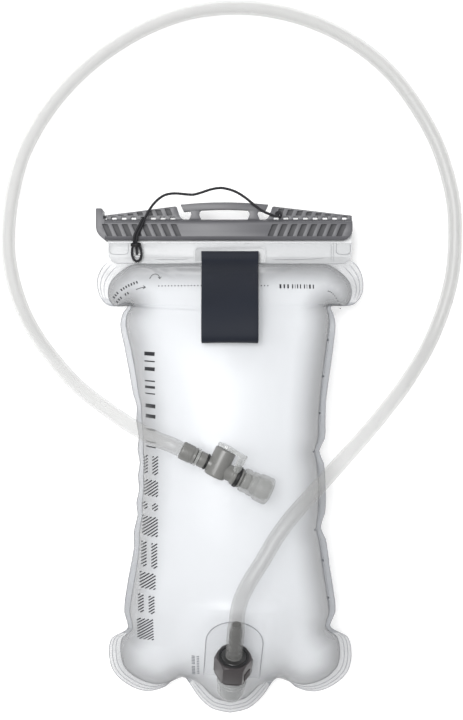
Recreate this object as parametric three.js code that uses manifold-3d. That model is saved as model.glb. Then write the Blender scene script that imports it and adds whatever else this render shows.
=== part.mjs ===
// A hiking hydration bladder: film reservoir, slide-off closure, drink tube and mouthpiece.
// Millimetres, +Z up, the filled reservoir lying on its back. +Y runs from the outlet to the mouth,
// +X to the right of someone who looks down on the front panel. The origin is under the middle of
// the reservoir, on the surface that it lies on.
import * as THREE from 'three';
import Module from 'manifold-3d';
import { mergeVertices } from 'three/addons/utils/BufferGeometryUtils.js';

const wasm = await Module();
wasm.setup();

// ---- Driving dimensions ----

const GAP = 0.3; // between faces that touch on the real object

const FILM = 0.8; // film wall
const MOUTH_Z = 24; // height of the mouth's parting plane
const SPINE_TOP = 100; // the crown of the filled body runs from here
const SPINE_BOTTOM = -115; // to here

// Half of the reservoir's outline, from the middle of the mouth round to the middle of the outlet
// lobe: x, y, height of the seam, width of the weld margin, 1 where the panel slopes like an end.
const OUTLINE = [
  [0, 134, 24, 6, 1],
  [28, 134, 24, 7.5, 1],
  [56, 134, 24, 10.5, 1],
  [79.5, 134, 24, 14, 0.8],
  [84.5, 123, 24.5, 10, 0.4],
  [87, 112, 25, 9, 0.2],
  [80, 102.5, 26, 7, 0],
  [66.5, 101, 27, 4, 0],
  [68.3, 94, 28.5, 4, 0],
  [66.5, 76, 30, 4, 0],
  [62.5, 44, 30, 4, 0],
  [60.2, 10, 30, 4, 0],
  [60, -30, 30, 4, 0],
  [62.5, -64, 30, 4, 0],
  [66.6, -99, 28, 4, 0],
  [65, -110, 25, 4, 0.2],
  [75.3, -113.7, 20, 7, 0.4],
  [79.7, -127, 15, 8, 0.7],
  [78, -140, 12, 8, 0.9],
  [69, -150, 10, 8, 1],
  [56, -155, 10, 8, 1],
  [42, -150.5, 10, 7, 1],
  [33, -143.5, 11, 4, 1],
  [28, -151, 9, 6, 1],
  [19, -161.5, 8, 7, 1],
  [10, -168, 8, 7, 1],
  [0, -170, 8, 7, 1],
];
// The crown's height along its length: y, z.
const CROWN = [
  [100, 47],
  [88, 52],
  [70, 57.5],
  [40, 62],
  [0, 65],
  [-40, 66],
  [-75, 63.5],
  [-95, 54.8],
  [-115, 43],
];
const RING_STEPS = [0.06, 0.2, 0.4, 0.68]; // rings between the weld and the crown
const REST_STEP = 0.4; // the back is flat from this ring inwards

const RAIL = { half: 79.5, bead: 3.2, web: 1.2, low: 134.3, neck: 148.6, top: 156.2 };
const COLLAR = { half: 79.5, low: 130, high: 143.5, lift: 1.65, thick: 0.8, corner: 6 };
const PATCH = { half: 24, low: 130, high: 141.5, thick: 1 };
const STRAP = { half: 19, thick: 1.4 };
const EYELET = { x: -60.5, y: 133.5, r: 5, hole: 2.1, thick: 1 };

const BAR = { left: -87, right: 79.5, low: 144.8, ridge: 157.2, valley: 158.7, peak: 167.2, end: 161.2 };
const BAR_WALL = 2; // walls of the bar's channel
const BAR_HALF = RAIL.bead + GAP + BAR_WALL + 1; // half of the bar's thickness
const WING_HALF = 2.4; // half of the wings' and handle's thickness
const RIBS = 8; // pockets on each side
const RIB_PITCH = 6.45;
const HANDLE = { x: -3.6, half: 28.7, post: 16.5, postWidth: 5.2, low: 164.5, top: 170 };
const TETHER_HOLE = { x: 31.6, y: 161.6, r: 1.5 };
const TETHER_R = 0.85;

// The middle of the socket's mouth, and how its axis rises and turns, in degrees.
const PORT = { x: 2.4, y: -115.5, z: 61.5, tilt: 30, yaw: 4 };
const SOCKET = { r: 12, low: -14, skirt: -20, mouth: 8.9, bore: 6.2, lip: 4.9, well: 5.4 };
const SLEEVE = { r: 8.7, inner: 7.3, low: -36 };
const PLUG = { flange: 7.85, top: 0.9, nose: 4.5, tip: -11.5, core: 3.2, barb: 3.9, length: 27 };
const FLOW = 2.3; // radius of every flow passage
const FLARE = { r: 5.3, inner: 4.2 }; // the tube's end, stretched over the barbs
const FLANGE = { half: 17.7, top: 18.2, low: -30, near: 10.7, thick: 0.6 };
const LATCH = { turn: -30, inner: 8.7, outer: 10.9, half: 2.8, low: -12.4, high: -7 };
const POPPET = { r: 5, low: -13.2, high: -11.8, guide: 1.5 };

const TUBE_R = 4.75;

// The start of the mouthpiece, and how its axis turns and dips, in degrees.
const MOUTH = { x: -28.9, y: 13.6, z: 80.4, turn: -26.3, pitch: 5 };
const VALVE = { x: 24.3, r: 6.5, low: -6, high: 11.6, bore: 4.7, rotor: 4.3 };
const LEVER = { rest: 42, near: 12.6, far: 14, half: 3, low: 2.5, high: 14.2, hub: 6.2 };
const BITE = { start: 40.6, end: 59.4, r0: 7.3, r1: 8.6 };

// The drink tube's centreline from the barbed plug, over the reservoir's right edge, round on the
// surface that it lies on, and up the left edge to the mouthpiece.
const TUBE_ROUTE = [
  [4.05, -91.9, 75.15],
  [4.6, -84.1, 79.65],
  [6.9, -74.3, 82.9],
  [12.2, -63.5, 83.6],
  [19.5, -52.3, 82.5],
  [26.9, -40.3, 80],
  [36.1, -28.3, 77],
  [45.9, -18, 73.5],
  [66.3, 2.3, 63.5],
  [89.5, 23.9, 43.5],
  [101.6, 35.9, 31.5],
  [113, 47.9, 20.5],
  [123.5, 61.3, 12],
  [132.5, 75.1, 7],
  [142.7, 98, 5],
  [149.5, 122.3, 5],
  [151.8, 148, 5],
  [150.8, 172.3, 5],
  [145.1, 197.2, 5],
  [136.1, 220.2, 5],
  [108.4, 260.9, 5],
  [69.5, 289.3, 5],
  [21.6, 303.8, 5],
  [-29, 301.1, 5],
  [-75.6, 280.2, 5],
  [-113.7, 247.2, 5],
  [-140.5, 203.3, 5],
  [-149.8, 152.7, 5],
  [-147.8, 127.1, 5],
  [-140.4, 102.7, 6.4],
  [-129.5, 83.4, 11.5],
  [-115, 66.3, 22],
  [-97.6, 50, 36],
  [-81.1, 39.1, 50],
  [-67, 30.7, 62],
  [-53.1, 23.5, 72],
  [-41.7, 18.8, 78.6],
  [-35.2, 16.7, 80.6],
  [-29.2, 13.75, 80.43],
];

const DEG = Math.PI / 180;

// ---- Making solids ----

function toSolid(geometry) {
  const bare = geometry.clone();
  bare.deleteAttribute('normal');
  bare.deleteAttribute('uv');
  const merged = mergeVertices(bare, 1e-4);
  const triVerts = dropThinTriangles(Array.from(merged.index.array));
  const vertProperties = Float32Array.from(merged.attributes.position.array);
  const mesh = new wasm.Mesh({ numProp: 3, vertProperties, triVerts: Uint32Array.from(triVerts) });
  return new wasm.Manifold(mesh);
}

function dropThinTriangles(index) {
  const kept = [];
  for (let i = 0; i < index.length; i += 3) {
    const [a, b, c] = index.slice(i, i + 3);
    if (a !== b && b !== c && c !== a) {
      kept.push(a, b, c);
    }
  }
  return kept;
}

function fromSolid(solid) {
  const mesh = solid.getMesh();
  const geometry = new THREE.BufferGeometry();
  geometry.setAttribute('position', new THREE.BufferAttribute(Float32Array.from(mesh.vertProperties), 3));
  geometry.setIndex(Array.from(mesh.triVerts));
  return geometry;
}

function join(first, ...others) {
  return fromSolid(others.reduce((whole, next) => whole.add(toSolid(next)), toSolid(first)));
}

function cut(first, ...others) {
  return fromSolid(others.reduce((whole, next) => whole.subtract(toSolid(next)), toSolid(first)));
}

function common(first, second) {
  return fromSolid(toSolid(first).intersect(toSolid(second)));
}

// A closed profile of [radius, distance] turned about +Z.
function turned(profile, sides) {
  const points = profile.map(([r, z]) => new THREE.Vector2(r, z));
  return new THREE.LatheGeometry(points, sides).rotateX(Math.PI / 2);
}

// The same about +X.
function turnedX(profile, sides) {
  return turned(profile, sides).rotateY(Math.PI / 2);
}

// A solid rod from z = a to z = b about +Z.
function rod(r, a, b, sides) {
  return turned([[0, a], [r, a], [r, b], [0, b]], sides);
}

function ring(inner, outer, a, b, sides) {
  return turned([[inner, a], [outer, a], [outer, b], [inner, b], [inner, a]], sides);
}

function block(x0, x1, y0, y1, z0, z1) {
  const box = new THREE.BoxGeometry(x1 - x0, y1 - y0, z1 - z0);
  return box.translate((x0 + x1) / 2, (y0 + y1) / 2, (z0 + z1) / 2);
}

// A flat outline of [x, y] from z0 up to z1.
function plate(outline, z0, z1) {
  const shape = new THREE.Shape(outline.map(([x, y]) => new THREE.Vector2(x, y)));
  const solid = new THREE.ExtrudeGeometry(shape, { depth: z1 - z0, bevelEnabled: false, curveSegments: 6 });
  return solid.translate(0, 0, z0);
}

// A flat outline of [y, z] from x0 to x1.
function extrusion(outline, x0, x1) {
  const solid = plate(outline, x0, x1);
  solid.rotateX(Math.PI / 2);
  solid.rotateZ(Math.PI / 2);
  return solid;
}

// Points on an arc, from one angle to another in degrees.
function arc(x, y, r, from, to, steps) {
  const points = [];
  for (let i = 0; i <= steps; i += 1) {
    const a = (from + ((to - from) * i) / steps) * DEG;
    points.push([x + r * Math.cos(a), y + r * Math.sin(a)]);
  }
  return points;
}

// A round cord through the route's points.
function cordAlong(route, r, steps, sides) {
  const curve = new THREE.CatmullRomCurve3(route.map((p) => new THREE.Vector3(...p)), false, 'centripetal');
  const round = arc(0, 0, r, 0, 360 - 360 / sides, sides - 1);
  const section = new THREE.Shape(round.map((p) => new THREE.Vector2(...p)));
  return new THREE.ExtrudeGeometry(section, { steps, extrudePath: curve, bevelEnabled: false });
}

const object = new THREE.Group();

function part(name, geometry, color, roughness, metalness, parent = object) {
  geometry.computeVertexNormals();
  const mesh = new THREE.Mesh(geometry, new THREE.MeshStandardMaterial({ color, roughness, metalness }));
  mesh.name = name;
  parent.add(mesh);
  return mesh;
}

const CLEAR = 0xeef1f4;
const GREY = 0x6a696f;
const DARK = 0x403e41;
const VALVE_GREY = 0x83827f;
const BLACK = 0x18181a;
const SLATE = 0x464952;
const STEEL = 0xb8babd;

// ---- The reservoir's two film panels ----

function crownHeight(y) {
  for (let i = 1; i < CROWN.length; i += 1) {
    const [y0, z0] = CROWN[i - 1];
    const [y1, z1] = CROWN[i];
    if (y >= y1) {
      return z0 + ((z1 - z0) * (y0 - Math.min(y, y0))) / (y0 - y1);
    }
  }
  return CROWN[CROWN.length - 1][1];
}

// The whole outline, with each point's own place on the crown line.
function seamPoints() {
  let lowest = SPINE_TOP;
  const half = OUTLINE.map(([x, y, seam, margin, end]) => {
    lowest = Math.max(SPINE_BOTTOM, Math.min(lowest, y));
    return { x, y, seam, margin, end, spine: lowest };
  });
  const mirrored = half.slice(1, -1).reverse().map((p) => ({ ...p, x: -p.x }));
  return [...half, ...mirrored];
}

// How far a panel stands from its seam, from 0 at the weld to 1 at the crown.
function swell(step, end) {
  const side = Math.sqrt(1 - (1 - step) ** 2);
  const slope = Math.sin((step * Math.PI) / 2);
  return side + (slope - side) * end;
}

function flatSwell(step, end) {
  return step >= REST_STEP ? 1 : swell(step / REST_STEP, end);
}

// One face of a panel, as rings of points from the margin's edge to the crown. up is 1 on the
// front and -1 on the back; depth is how far the face lies inside the panel's outer face.
function faceRings(seams, up, depth) {
  const wall = GAP / 2 + FILM - depth;
  const margin = seams.map((p) => [p.x, p.y, p.seam + up * wall]);
  const rings = [margin];
  for (const step of [0, ...RING_STEPS, 1]) {
    rings.push(seams.map((p) => facePoint(p, step, up, depth, wall)));
  }
  return rings;
}

function facePoint(p, step, up, depth, wall) {
  const reach = Math.hypot(p.x, p.y - p.spine);
  const inset = (p.margin + depth) / reach;
  const along = inset + (1 - inset) * step;
  const x = p.x * (1 - along);
  const y = p.y + (p.spine - p.y) * along;
  const start = p.seam + up * wall;
  const crown = up > 0 ? crownHeight(p.spine) - depth : depth;
  const share = up > 0 ? swell(step, p.end) : flatSwell(step, p.end);
  return [x, y, start + (crown - start) * share];
}

function panel(up) {
  const seams = seamPoints();
  const outer = faceRings(seams, up, 0);
  const inner = faceRings(seams, up, FILM);
  const loops = [...[...outer].reverse(), ...inner];
  const n = seams.length;
  const positions = loops.flat(2);
  const index = [];
  for (let k = 0; k < loops.length - 1; k += 1) {
    for (let i = 0; i < n; i += 1) {
      const a = k * n + i;
      const b = k * n + ((i + 1) % n);
      const quad = up > 0 ? [a, b, a + n, b, b + n, a + n] : [a, a + n, b, b, a + n, b + n];
      index.push(...quad);
    }
  }
  const geometry = new THREE.BufferGeometry();
  geometry.setAttribute('position', new THREE.BufferAttribute(Float32Array.from(positions), 3));
  geometry.setIndex(index);
  return fromSolid(toSolid(geometry));
}

part('front_panel', panel(1), CLEAR, 0.3, 0);
part('rear_panel', panel(-1), CLEAR, 0.3, 0);

// ---- The mouth: rails, collar bands, eyelet, strap ----

// Turns [y, height above the parting plane] over for the back of the mouth.
function onSide(outline, up) {
  const points = outline.map(([y, h]) => [y, MOUTH_Z + up * h]);
  return up > 0 ? points : points.reverse();
}

function rail(up) {
  const inside = GAP / 2;
  const outline = [
    [RAIL.low, inside],
    [RAIL.top, inside],
    [RAIL.top, inside + RAIL.bead * 0.55],
    [RAIL.top - 1.6, inside + RAIL.bead],
    [RAIL.neck + 1.2, inside + RAIL.bead],
    [RAIL.neck, inside + RAIL.web],
    [RAIL.low, inside + RAIL.web],
  ];
  return extrusion(onSide(outline, up), -RAIL.half, RAIL.half);
}

function bandOutline() {
  const { half, low, high, corner } = COLLAR;
  return [
    ...arc(half - corner, low + corner, corner, -90, 0, 4),
    [half, high],
    [-half, high],
    ...arc(-half + corner, low + corner, corner, 180, 270, 4),
  ];
}

function collarBand(up) {
  const low = MOUTH_Z + up * COLLAR.lift;
  const high = low + up * COLLAR.thick;
  return plate(bandOutline(), Math.min(low, high), Math.max(low, high));
}

part('front_rail', rail(1), CLEAR, 0.25, 0);
part('rear_rail', rail(-1), CLEAR, 0.25, 0);
const patchZ = MOUTH_Z + COLLAR.lift + COLLAR.thick + GAP;
const eyeletHole = rod(EYELET.hole, 0, 2 * MOUTH_Z, 12).translate(EYELET.x, EYELET.y, 0);
part('front_collar', cut(collarBand(1), eyeletHole), CLEAR, 0.25, 0);
part('rear_collar', cut(collarBand(-1), eyeletHole), CLEAR, 0.25, 0);

function eyelet() {
  const washer = ring(EYELET.hole, EYELET.r - 1.6, patchZ, patchZ + EYELET.thick, 16);
  return washer.translate(EYELET.x, EYELET.y, 0);
}

part('tether_eyelet', eyelet(), CLEAR, 0.25, 0);

function strapPatch() {
  const { half, low, high, thick } = PATCH;
  const outline = [
    [-half, low],
    [half, low],
    ...arc(half - 3, high - 3, 3, 0, 90, 3),
    ...arc(-half + 3, high - 3, 3, 90, 180, 3),
  ];
  return plate(outline, patchZ, patchZ + thick);
}

part('strap_patch', strapPatch(), CLEAR, 0.3, 0);

// A loop of webbing in side view: down over the film, round its bottom turn and back.
function handStrap() {
  const root = patchZ + PATCH.thick + GAP;
  const under = [
    [140, root],
    [131, root],
    [121, root + 6.5],
    [111, 43.5],
    [99, 50],
    [88, 54.4],
    [82, 56.8],
  ];
  const over = [
    [82, 64.6],
    [90, 64.2],
    [101, 60.6],
    [112, 53],
    [122, 43],
    [131, root + 4.6],
    [140, root + 3],
  ];
  const turn = arc(81.4, 60.7, 3.9, 270, 90, 6);
  const inner = [
    ...under.map(([y, z]) => [y, z + STRAP.thick]),
    ...arc(81.4, 60.7, 3.9 - STRAP.thick, 270, 90, 6),
    ...over.map(([y, z]) => [y, z - STRAP.thick]),
  ];
  const outline = [...under, ...turn, ...over, ...inner.reverse()];
  return extrusion(outline.reverse(), -STRAP.half, STRAP.half);
}

part('hand_strap', handStrap(), SLATE, 0.8, 0);

// ---- The slide bar: a channel that grips both rails, with ribbed wings and a hang handle ----

function barChannel() {
  const hollow = RAIL.bead + GAP / 2 + GAP;
  const lips = RAIL.web + GAP / 2 + GAP + 0.2;
  const outside = BAR_HALF;
  const back = RAIL.top + GAP;
  const half = [
    [BAR.valley, 0],
    [BAR.valley, WING_HALF],
    [BAR.valley - 1.4, outside - 0.6],
    [BAR.valley - 3, outside],
    [BAR.low + 1.2, outside],
    [BAR.low, outside - 1.2],
    [BAR.low, lips],
    [RAIL.neck + GAP - 0.6, lips],
    [RAIL.neck + GAP - 0.6, hollow],
    [back, hollow],
  ];
  const front = half.map(([y, h]) => [y, MOUTH_Z + h]);
  const rear = half.slice(1).reverse().map(([y, h]) => [y, MOUTH_Z - h]);
  return extrusion([...front, ...rear].reverse(), BAR.left, BAR.right);
}

function wingOutline(side) {
  const tip = side < 0 ? BAR.left + 4.4 : BAR.right;
  const root = HANDLE.x + side * HANDLE.half;
  const outline = [
    [tip, BAR.valley - 2.4],
    [tip, BAR.end],
    [HANDLE.x + side * (HANDLE.half + 3.6), BAR.peak],
    [HANDLE.x + side * (HANDLE.half + 2.6), BAR.peak - 0.3],
    [root + side * 0.6, BAR.valley + 1.6],
    [root - side * 1.6, BAR.valley],
    [root - side * 1.6, BAR.valley - 2.4],
  ];
  return side < 0 ? outline : outline.reverse();
}

// The closed end, which stops the rails and curls up into a hook.
function endStop() {
  const top = 165.4;
  const outline = [
    [BAR.left + 6, BAR.low],
    [BAR.left + 6, top - 4.2],
    [BAR.left + 4.2, top - 4.2],
    [BAR.left + 4.2, top],
    [BAR.left, top],
    [BAR.left, BAR.valley - 4],
    [BAR.left + 1.6, BAR.low + 4],
    [BAR.left + 4, BAR.low + 1],
  ];
  return plate(outline.reverse(), MOUTH_Z - BAR_HALF, MOUTH_Z + BAR_HALF);
}

function handleOutline() {
  const { x, half, post: away, low, top } = HANDLE;
  const steps = 8;
  const upper = [];
  for (let i = 0; i <= steps; i += 1) {
    const u = 1 - (2 * i) / steps;
    upper.push([x + half * u, top - 1.6 * u * u]);
  }
  const under = low + 0.9;
  const wingTip = low - 0.4;
  const lower = [[x - half + 1.4, wingTip], [x - away, under], [x + away, under], [x + half - 1.4, wingTip]];
  return [...lower, ...upper];
}

function post(side) {
  const { x, post: away, postWidth: wide, low } = HANDLE;
  const middle = x + side * (away + wide / 2);
  return block(middle - wide / 2, middle + wide / 2, BAR.valley - 1, low + 1.2, ...handleDepth());
}

function handleDepth() {
  return [MOUTH_Z - WING_HALF, MOUTH_Z + WING_HALF];
}

// Where rib number i stands on one side, counted from the handle outwards.
function ribX(side, i) {
  return HANDLE.x + side * (HANDLE.half + 5.4 + RIB_PITCH * i);
}

// A leaning pocket sunk into the bar's front.
function pocket(side, i, low, high) {
  const lean = side * 0.42;
  const x = ribX(side, i) - lean * (BAR.ridge - low);
  const wide = 3.7;
  const reach = lean * (high - low);
  const depth = 0.9;
  const face = MOUTH_Z + BAR_HALF;
  const outline = [
    [x - wide / 2, low],
    [x + wide / 2, low],
    [x + wide / 2 + reach, high],
    [x - wide / 2 + reach, high],
  ];
  return plate(outline, face - depth, face + 1);
}

function slot(side, i) {
  const x = ribX(side, i);
  const { valley } = BAR;
  return block(x - 1.7, x + 1.7, valley - 0.1, valley + 1.8, MOUTH_Z - BAR_HALF, MOUTH_Z + BAR_HALF);
}

function slideBar() {
  const wings = [-1, 1].map((side) => plate(wingOutline(side), ...handleDepth()));
  const grip = plate(handleOutline(), ...handleDepth());
  const body = join(barChannel(), ...wings, endStop(), grip, post(-1), post(1));
  const cuts = [];
  for (const side of [-1, 1]) {
    for (let i = 0; i < RIBS; i += 1) {
      cuts.push(slot(side, i));
      cuts.push(pocket(side, i, BAR.low + 2.6, BAR.ridge - 2.2));
    }
  }
  const hole = rod(TETHER_HOLE.r, 0, 2 * MOUTH_Z, 10).translate(TETHER_HOLE.x, TETHER_HOLE.y, 0);
  return cut(body, hole, ...cuts);
}

part('slide_bar', slideBar(), GREY, 0.45, 0);

// ---- The outlet port, in a frame whose +Z is the socket's axis and whose -Y faces outwards ----

const port = new THREE.Group();
port.position.set(PORT.x, PORT.y, PORT.z);
port.rotation.set((PORT.tilt - 90) * DEG, 0, -PORT.yaw * DEG, 'ZXY');
object.add(port);

function helix(r, wire, low, high, turns) {
  const points = [];
  const count = turns * 9;
  for (let i = 0; i <= count; i += 1) {
    const a = (i / 9) * 2 * Math.PI;
    points.push([r * Math.cos(a), r * Math.sin(a), low + wire + ((high - low - 2 * wire) * i) / count]);
  }
  return cordAlong(points, wire, count, 5);
}

function latchPocket() {
  const { half, low, high, turn } = LATCH;
  const room = block(SOCKET.bore + 0.9, SOCKET.r + 1, -half - GAP, half + GAP, low - GAP, high + GAP);
  return room.rotateZ(turn * DEG);
}

function socketBody() {
  const { r, low, skirt, mouth, bore, lip, well } = SOCKET;
  const guideHole = POPPET.guide + 0.5;
  const hexagon = plate(arc(0, 0, r, 0, 300, 5), low, 0);
  const chamfers = turned(
    [
      [0, low],
      [r - 1.2, low],
      [r, low + 2],
      [r, -2.2],
      [r - 1.5, 0],
      [0, 0],
    ],
    24,
  );
  const body = join(common(hexagon, chamfers), rod(7, skirt, low + 1, 20));
  const inside = [
    [0, skirt - 1],
    [guideHole, skirt - 1],
    [guideHole, skirt + 1.2],
    [well, skirt + 1.2],
    [well, -8.4],
    [lip, -7.8],
    [lip, -7.1],
    [bore, -6.9],
    [bore, -3],
    [mouth, -3],
    [mouth, 1],
    [0, 1],
  ];
  return cut(body, turned(inside, 20), latchPocket());
}

function sleeveBody() {
  const { r, inner, low } = SLEEVE;
  const top = SOCKET.low - GAP;
  const shell = [
    [inner, low + 8],
    [inner - 0.6, low + 5],
    [inner - 2.6, low + 3],
    [0, low + 1.6],
    [0, low],
    [r - 4.2, low + 0.6],
    [r - 1.4, low + 3],
    [r, low + 7],
    [r, top - 5.4],
    [r + 0.7, top - 4.9],
    [r + 0.7, top - 3.9],
    [r, top - 3.4],
    [r, top],
    [inner, top],
    [inner, low + 8],
  ];
  const window = block(-4, 4, 2, r + 1, low + 5, low + 12);
  return cut(turned(shell, 20), window);
}

function flangePlate() {
  const { half, top, low, near, thick } = FLANGE;
  const outline = [[-half, low], [half, low], ...arc(0, top - half, half, 0, 180, 10)];
  const sheet = plate(outline, 0, thick).rotateX(Math.PI / 2);
  return sheet.translate(0, near + thick, 0);
}

part('port_flange', flangePlate(), CLEAR, 0.3, 0, port);
part('port_sleeve', sleeveBody(), CLEAR, 0.25, 0, port);
part('port_socket', socketBody(), DARK, 0.4, 0, port);
part('socket_seal', ring(8.15, 8.6, -2.7, 0.2, 24), BLACK, 0.6, 0, port);

function latchButton() {
  const { inner, outer, half, low, high, turn } = LATCH;
  return block(inner, outer, -half, half, low, high).rotateZ(turn * DEG);
}

// A bowed leaf of spring steel between the pocket's wall and the button.
function latchSpring() {
  const { high, low, inner, turn } = LATCH;
  const half = (high - low) / 2 - 0.4;
  const wire = 0.3;
  const foot = SOCKET.bore + 0.9 + 0.1;
  const rise = inner - 0.1 - wire - foot;
  const bow = [];
  for (let i = 0; i <= 8; i += 1) {
    const u = -1 + i / 4;
    bow.push([(high + low) / 2 + half * u, foot + rise * (1 - u * u)]);
  }
  const outline = [...bow, ...bow.map(([z, x]) => [z, x + wire]).reverse()];
  const leaf = extrusion(outline, -LATCH.half + 0.4, LATCH.half - 0.4);
  return leaf.rotateX(Math.PI / 2).rotateZ(Math.PI / 2).rotateZ(turn * DEG);
}

part('latch_button', latchButton(), DARK, 0.35, 0, port);
part('latch_spring', latchSpring(), STEEL, 0.3, 1, port);

function poppet() {
  const { r, low, high, guide } = POPPET;
  const tail = SOCKET.skirt - 1.6;
  const shape = [[0, tail], [guide, tail], [guide, low - 0.8], [r, low], [r, high], [0, high]];
  return turned(shape, 16);
}

part('shutoff_poppet', poppet(), GREY, 0.4, 0, port);
part('poppet_spring', helix(2.6, 0.3, SOCKET.skirt + 1.5, POPPET.low - 1.5, 4), STEEL, 0.3, 1, port);

// ---- The plug and the drink tube ----

function plugBody() {
  const { flange, top, nose, tip, core, barb, length } = PLUG;
  const seat = -2.7;
  const outside = [[FLOW, tip], [nose, tip], [nose, seat], [flange, seat]];
  outside.push([flange, top - 0.4], [flange - 0.5, top]);
  const barbs = 5;
  const pitch = (length - 5) / barbs;
  outside.push([core, top]);
  for (let i = 0; i < barbs; i += 1) {
    const z = 3 + i * pitch;
    outside.push([core, z], [barb, z], [core, z + pitch - 0.8]);
  }
  outside.push([core, length - 1], [core - 0.5, length], [FLOW, length], [FLOW, tip]);
  return turned(outside, 14);
}

part('tube_plug', plugBody(), GREY, 0.35, 0, port);
part('plug_seal', ring(4.8, 5.8, -6, -4.4, 16), BLACK, 0.6, 0, port);

// The tube's own line, with its end stretched over the plug's barbs.
function drinkTube() {
  const { r, inner } = FLARE;
  const tip = PLUG.length + GAP;
  const low = PLUG.top + GAP;
  const end = tip + 0.4;
  const profile = [[inner, low], [r, low], [r, tip - 9], [TUBE_R, end], [0, end], [0, tip]];
  profile.push([inner, tip], [inner, low]);
  const flare = turned(profile, 10);
  port.updateWorldMatrix(true, false);
  flare.applyMatrix4(port.matrixWorld);
  return join(cordAlong(TUBE_ROUTE, TUBE_R, 76, 8), flare);
}

part('drink_tube', drinkTube(), CLEAR, 0.35, 0);

// ---- The mouthpiece, in a frame whose +X is the flow and whose +Y is the lever's side ----

const mouthpiece = new THREE.Group();
mouthpiece.position.set(MOUTH.x, MOUTH.y, MOUTH.z);
mouthpiece.rotation.set(0, MOUTH.pitch * DEG, MOUTH.turn * DEG, 'ZYX');
object.add(mouthpiece);

// A ring about the flow axis, with a bore.
function collar(inner, outer, a, b, sides) {
  return ring(inner, outer, a, b, sides).rotateY(Math.PI / 2);
}

function inletBarrel() {
  const profile = [
    [FLOW, 9.6],
    [4.3, 9.6],
    [4.3, 11.7],
    [4.7, 11.7],
    [4.7, 15.9],
    [3.7, 15.9],
    [3.7, 12.4],
    [FLOW, 12.4],
    [FLOW, 9.6],
  ];
  return turnedX(profile, 16);
}

part('tube_ferrule', collar(FLOW, 5.4, 0, 9.3, 14), VALVE_GREY, 0.5, 0, mouthpiece);
part('inlet_barrel', inletBarrel(), VALVE_GREY, 0.35, 0, mouthpiece);
part('inlet_ring', collar(4.6, 5.5, 9.7, 11.4, 16), CLEAR, 0.2, 0, mouthpiece);
part('inlet_seal', collar(3.65, 4.9, 16.2, 17.2, 16), BLACK, 0.6, 0, mouthpiece);

function crossRod(r, a, b, sides) {
  return rod(r, a, b, sides).rotateX(-Math.PI / 2).translate(VALVE.x, 0, 0);
}

function flowRod(r, a, b, sides = 14) {
  return rod(r, a, b, sides).rotateY(Math.PI / 2);
}

function valveBody() {
  const { x, r, low, high, bore } = VALVE;
  const inlet = turnedX([[0, 12.8], [3.3, 12.8], [3.3, 17.5], [4.3, 17.5], [4.3, x], [0, x]], 16);
  const outlet = turnedX([[0, x], [5, x], [5, 40], [4.5, 40.3], [4.5, 46], [0, 46]], 16);
  const body = join(crossRod(r, low, high, 24), inlet, outlet);
  return cut(body, crossRod(bore, low - 1, high + 1, 20), flowRod(FLOW, 10, 50));
}

part('valve_body', valveBody(), VALVE_GREY, 0.35, 0, mouthpiece);
part('valve_cap', crossRod(VALVE.rotor, VALVE.low + 0.5, VALVE.low + 1.9, 20), DARK, 0.4, 0, mouthpiece);
part('outlet_seal', collar(5.3, 6.4, 36.4, 38.4, 18), BLACK, 0.6, 0, mouthpiece);

function rotor() {
  const core = crossRod(VALVE.rotor, VALVE.low + 2.2, VALVE.high - 0.1, 20);
  return cut(core, flowRod(FLOW, 10, 50));
}

// A hub on the rotor's end with an arm and a paddle that hangs beside the barrel.
function lever() {
  const { rest, near, far, half, low, high, hub } = LEVER;
  const seat = VALVE.high + GAP;
  const disc = rod(hub, seat, high, 20).rotateX(-Math.PI / 2);
  const arm = block(0, far, seat, high, -half, half);
  const paddle = plate([[near, -half], [far, -half], [far, half], [near, half]], 0, high - low);
  paddle.rotateX(-Math.PI / 2).translate(0, low, 0);
  const whole = join(disc, arm, paddle);
  return whole.rotateY(-rest * DEG).translate(VALVE.x, 0, 0);
}

part('valve_rotor', rotor(), VALVE_GREY, 0.35, 0, mouthpiece);
part('valve_lever', lever(), CLEAR, 0.2, 0, mouthpiece);

function biteValve() {
  const { start, end, r0, r1 } = BITE;
  const middle = (start + end) / 2 - 1;
  const profile = [
    [4.9, start],
    [r0 - 0.5, start],
    [r0, start + 0.6],
    [r0 + 0.4, middle],
    [r1 - 0.3, middle + 1.2],
    [r1, end - 1],
    [r1 - 0.8, end],
    [0, end],
    [0, end - 1.6],
    [6.4, end - 1.6],
    [6, middle],
    [4.9, middle - 2],
    [4.9, start],
  ];
  const slit = block(end - 3, end + 1, -0.35, 0.35, -4.5, 4.5);
  return cut(turnedX(profile, 20), slit);
}

part('bite_valve', biteValve(), CLEAR, 0.35, 0, mouthpiece);

// ---- The tether, from the knot in the bar's wing to the eyelet on the collar ----

const TETHER_ROUTE = [
  [28.9, 160.8, 28.2],
  [20.8, 164.1, 28.2],
  [11.7, 171.3, 28.2],
  [3.9, 176.4, 28],
  [-5.8, 179, 27.8],
  [-13.6, 177.7, 27.8],
  [-23.9, 174.6, 27.8],
  [-34.9, 175.4, 28],
  [-42.7, 174.1, 28.6],
  [-49.2, 168.7, 29.6],
  [-53.7, 161.5, 31.2],
  [-57, 154, 32.2],
  [-60, 147.4, 32.2],
  [-60.7, 142.8, 30.8],
  [-60.6, 138.6, 29.3],
  [-60.5, 135, 28.8],
];

function knot() {
  const [r, low] = [2.3, MOUTH_Z + WING_HALF + GAP];
  const high = low + 3.6;
  const profile = [[0, low], [1.5, low], [r, low + 1.4], [r, low + 2.4], [1.4, high], [0, high]];
  return turned(profile, 10).translate(TETHER_HOLE.x, TETHER_HOLE.y, 0);
}

function wrap() {
  const clamp = ring(TETHER_R + 0.45, 2.4, -0.9, 0.9, 12).rotateX(Math.PI / 2 + 0.34);
  return clamp.translate(-60.67, 141.4, 30.3);
}

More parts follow.
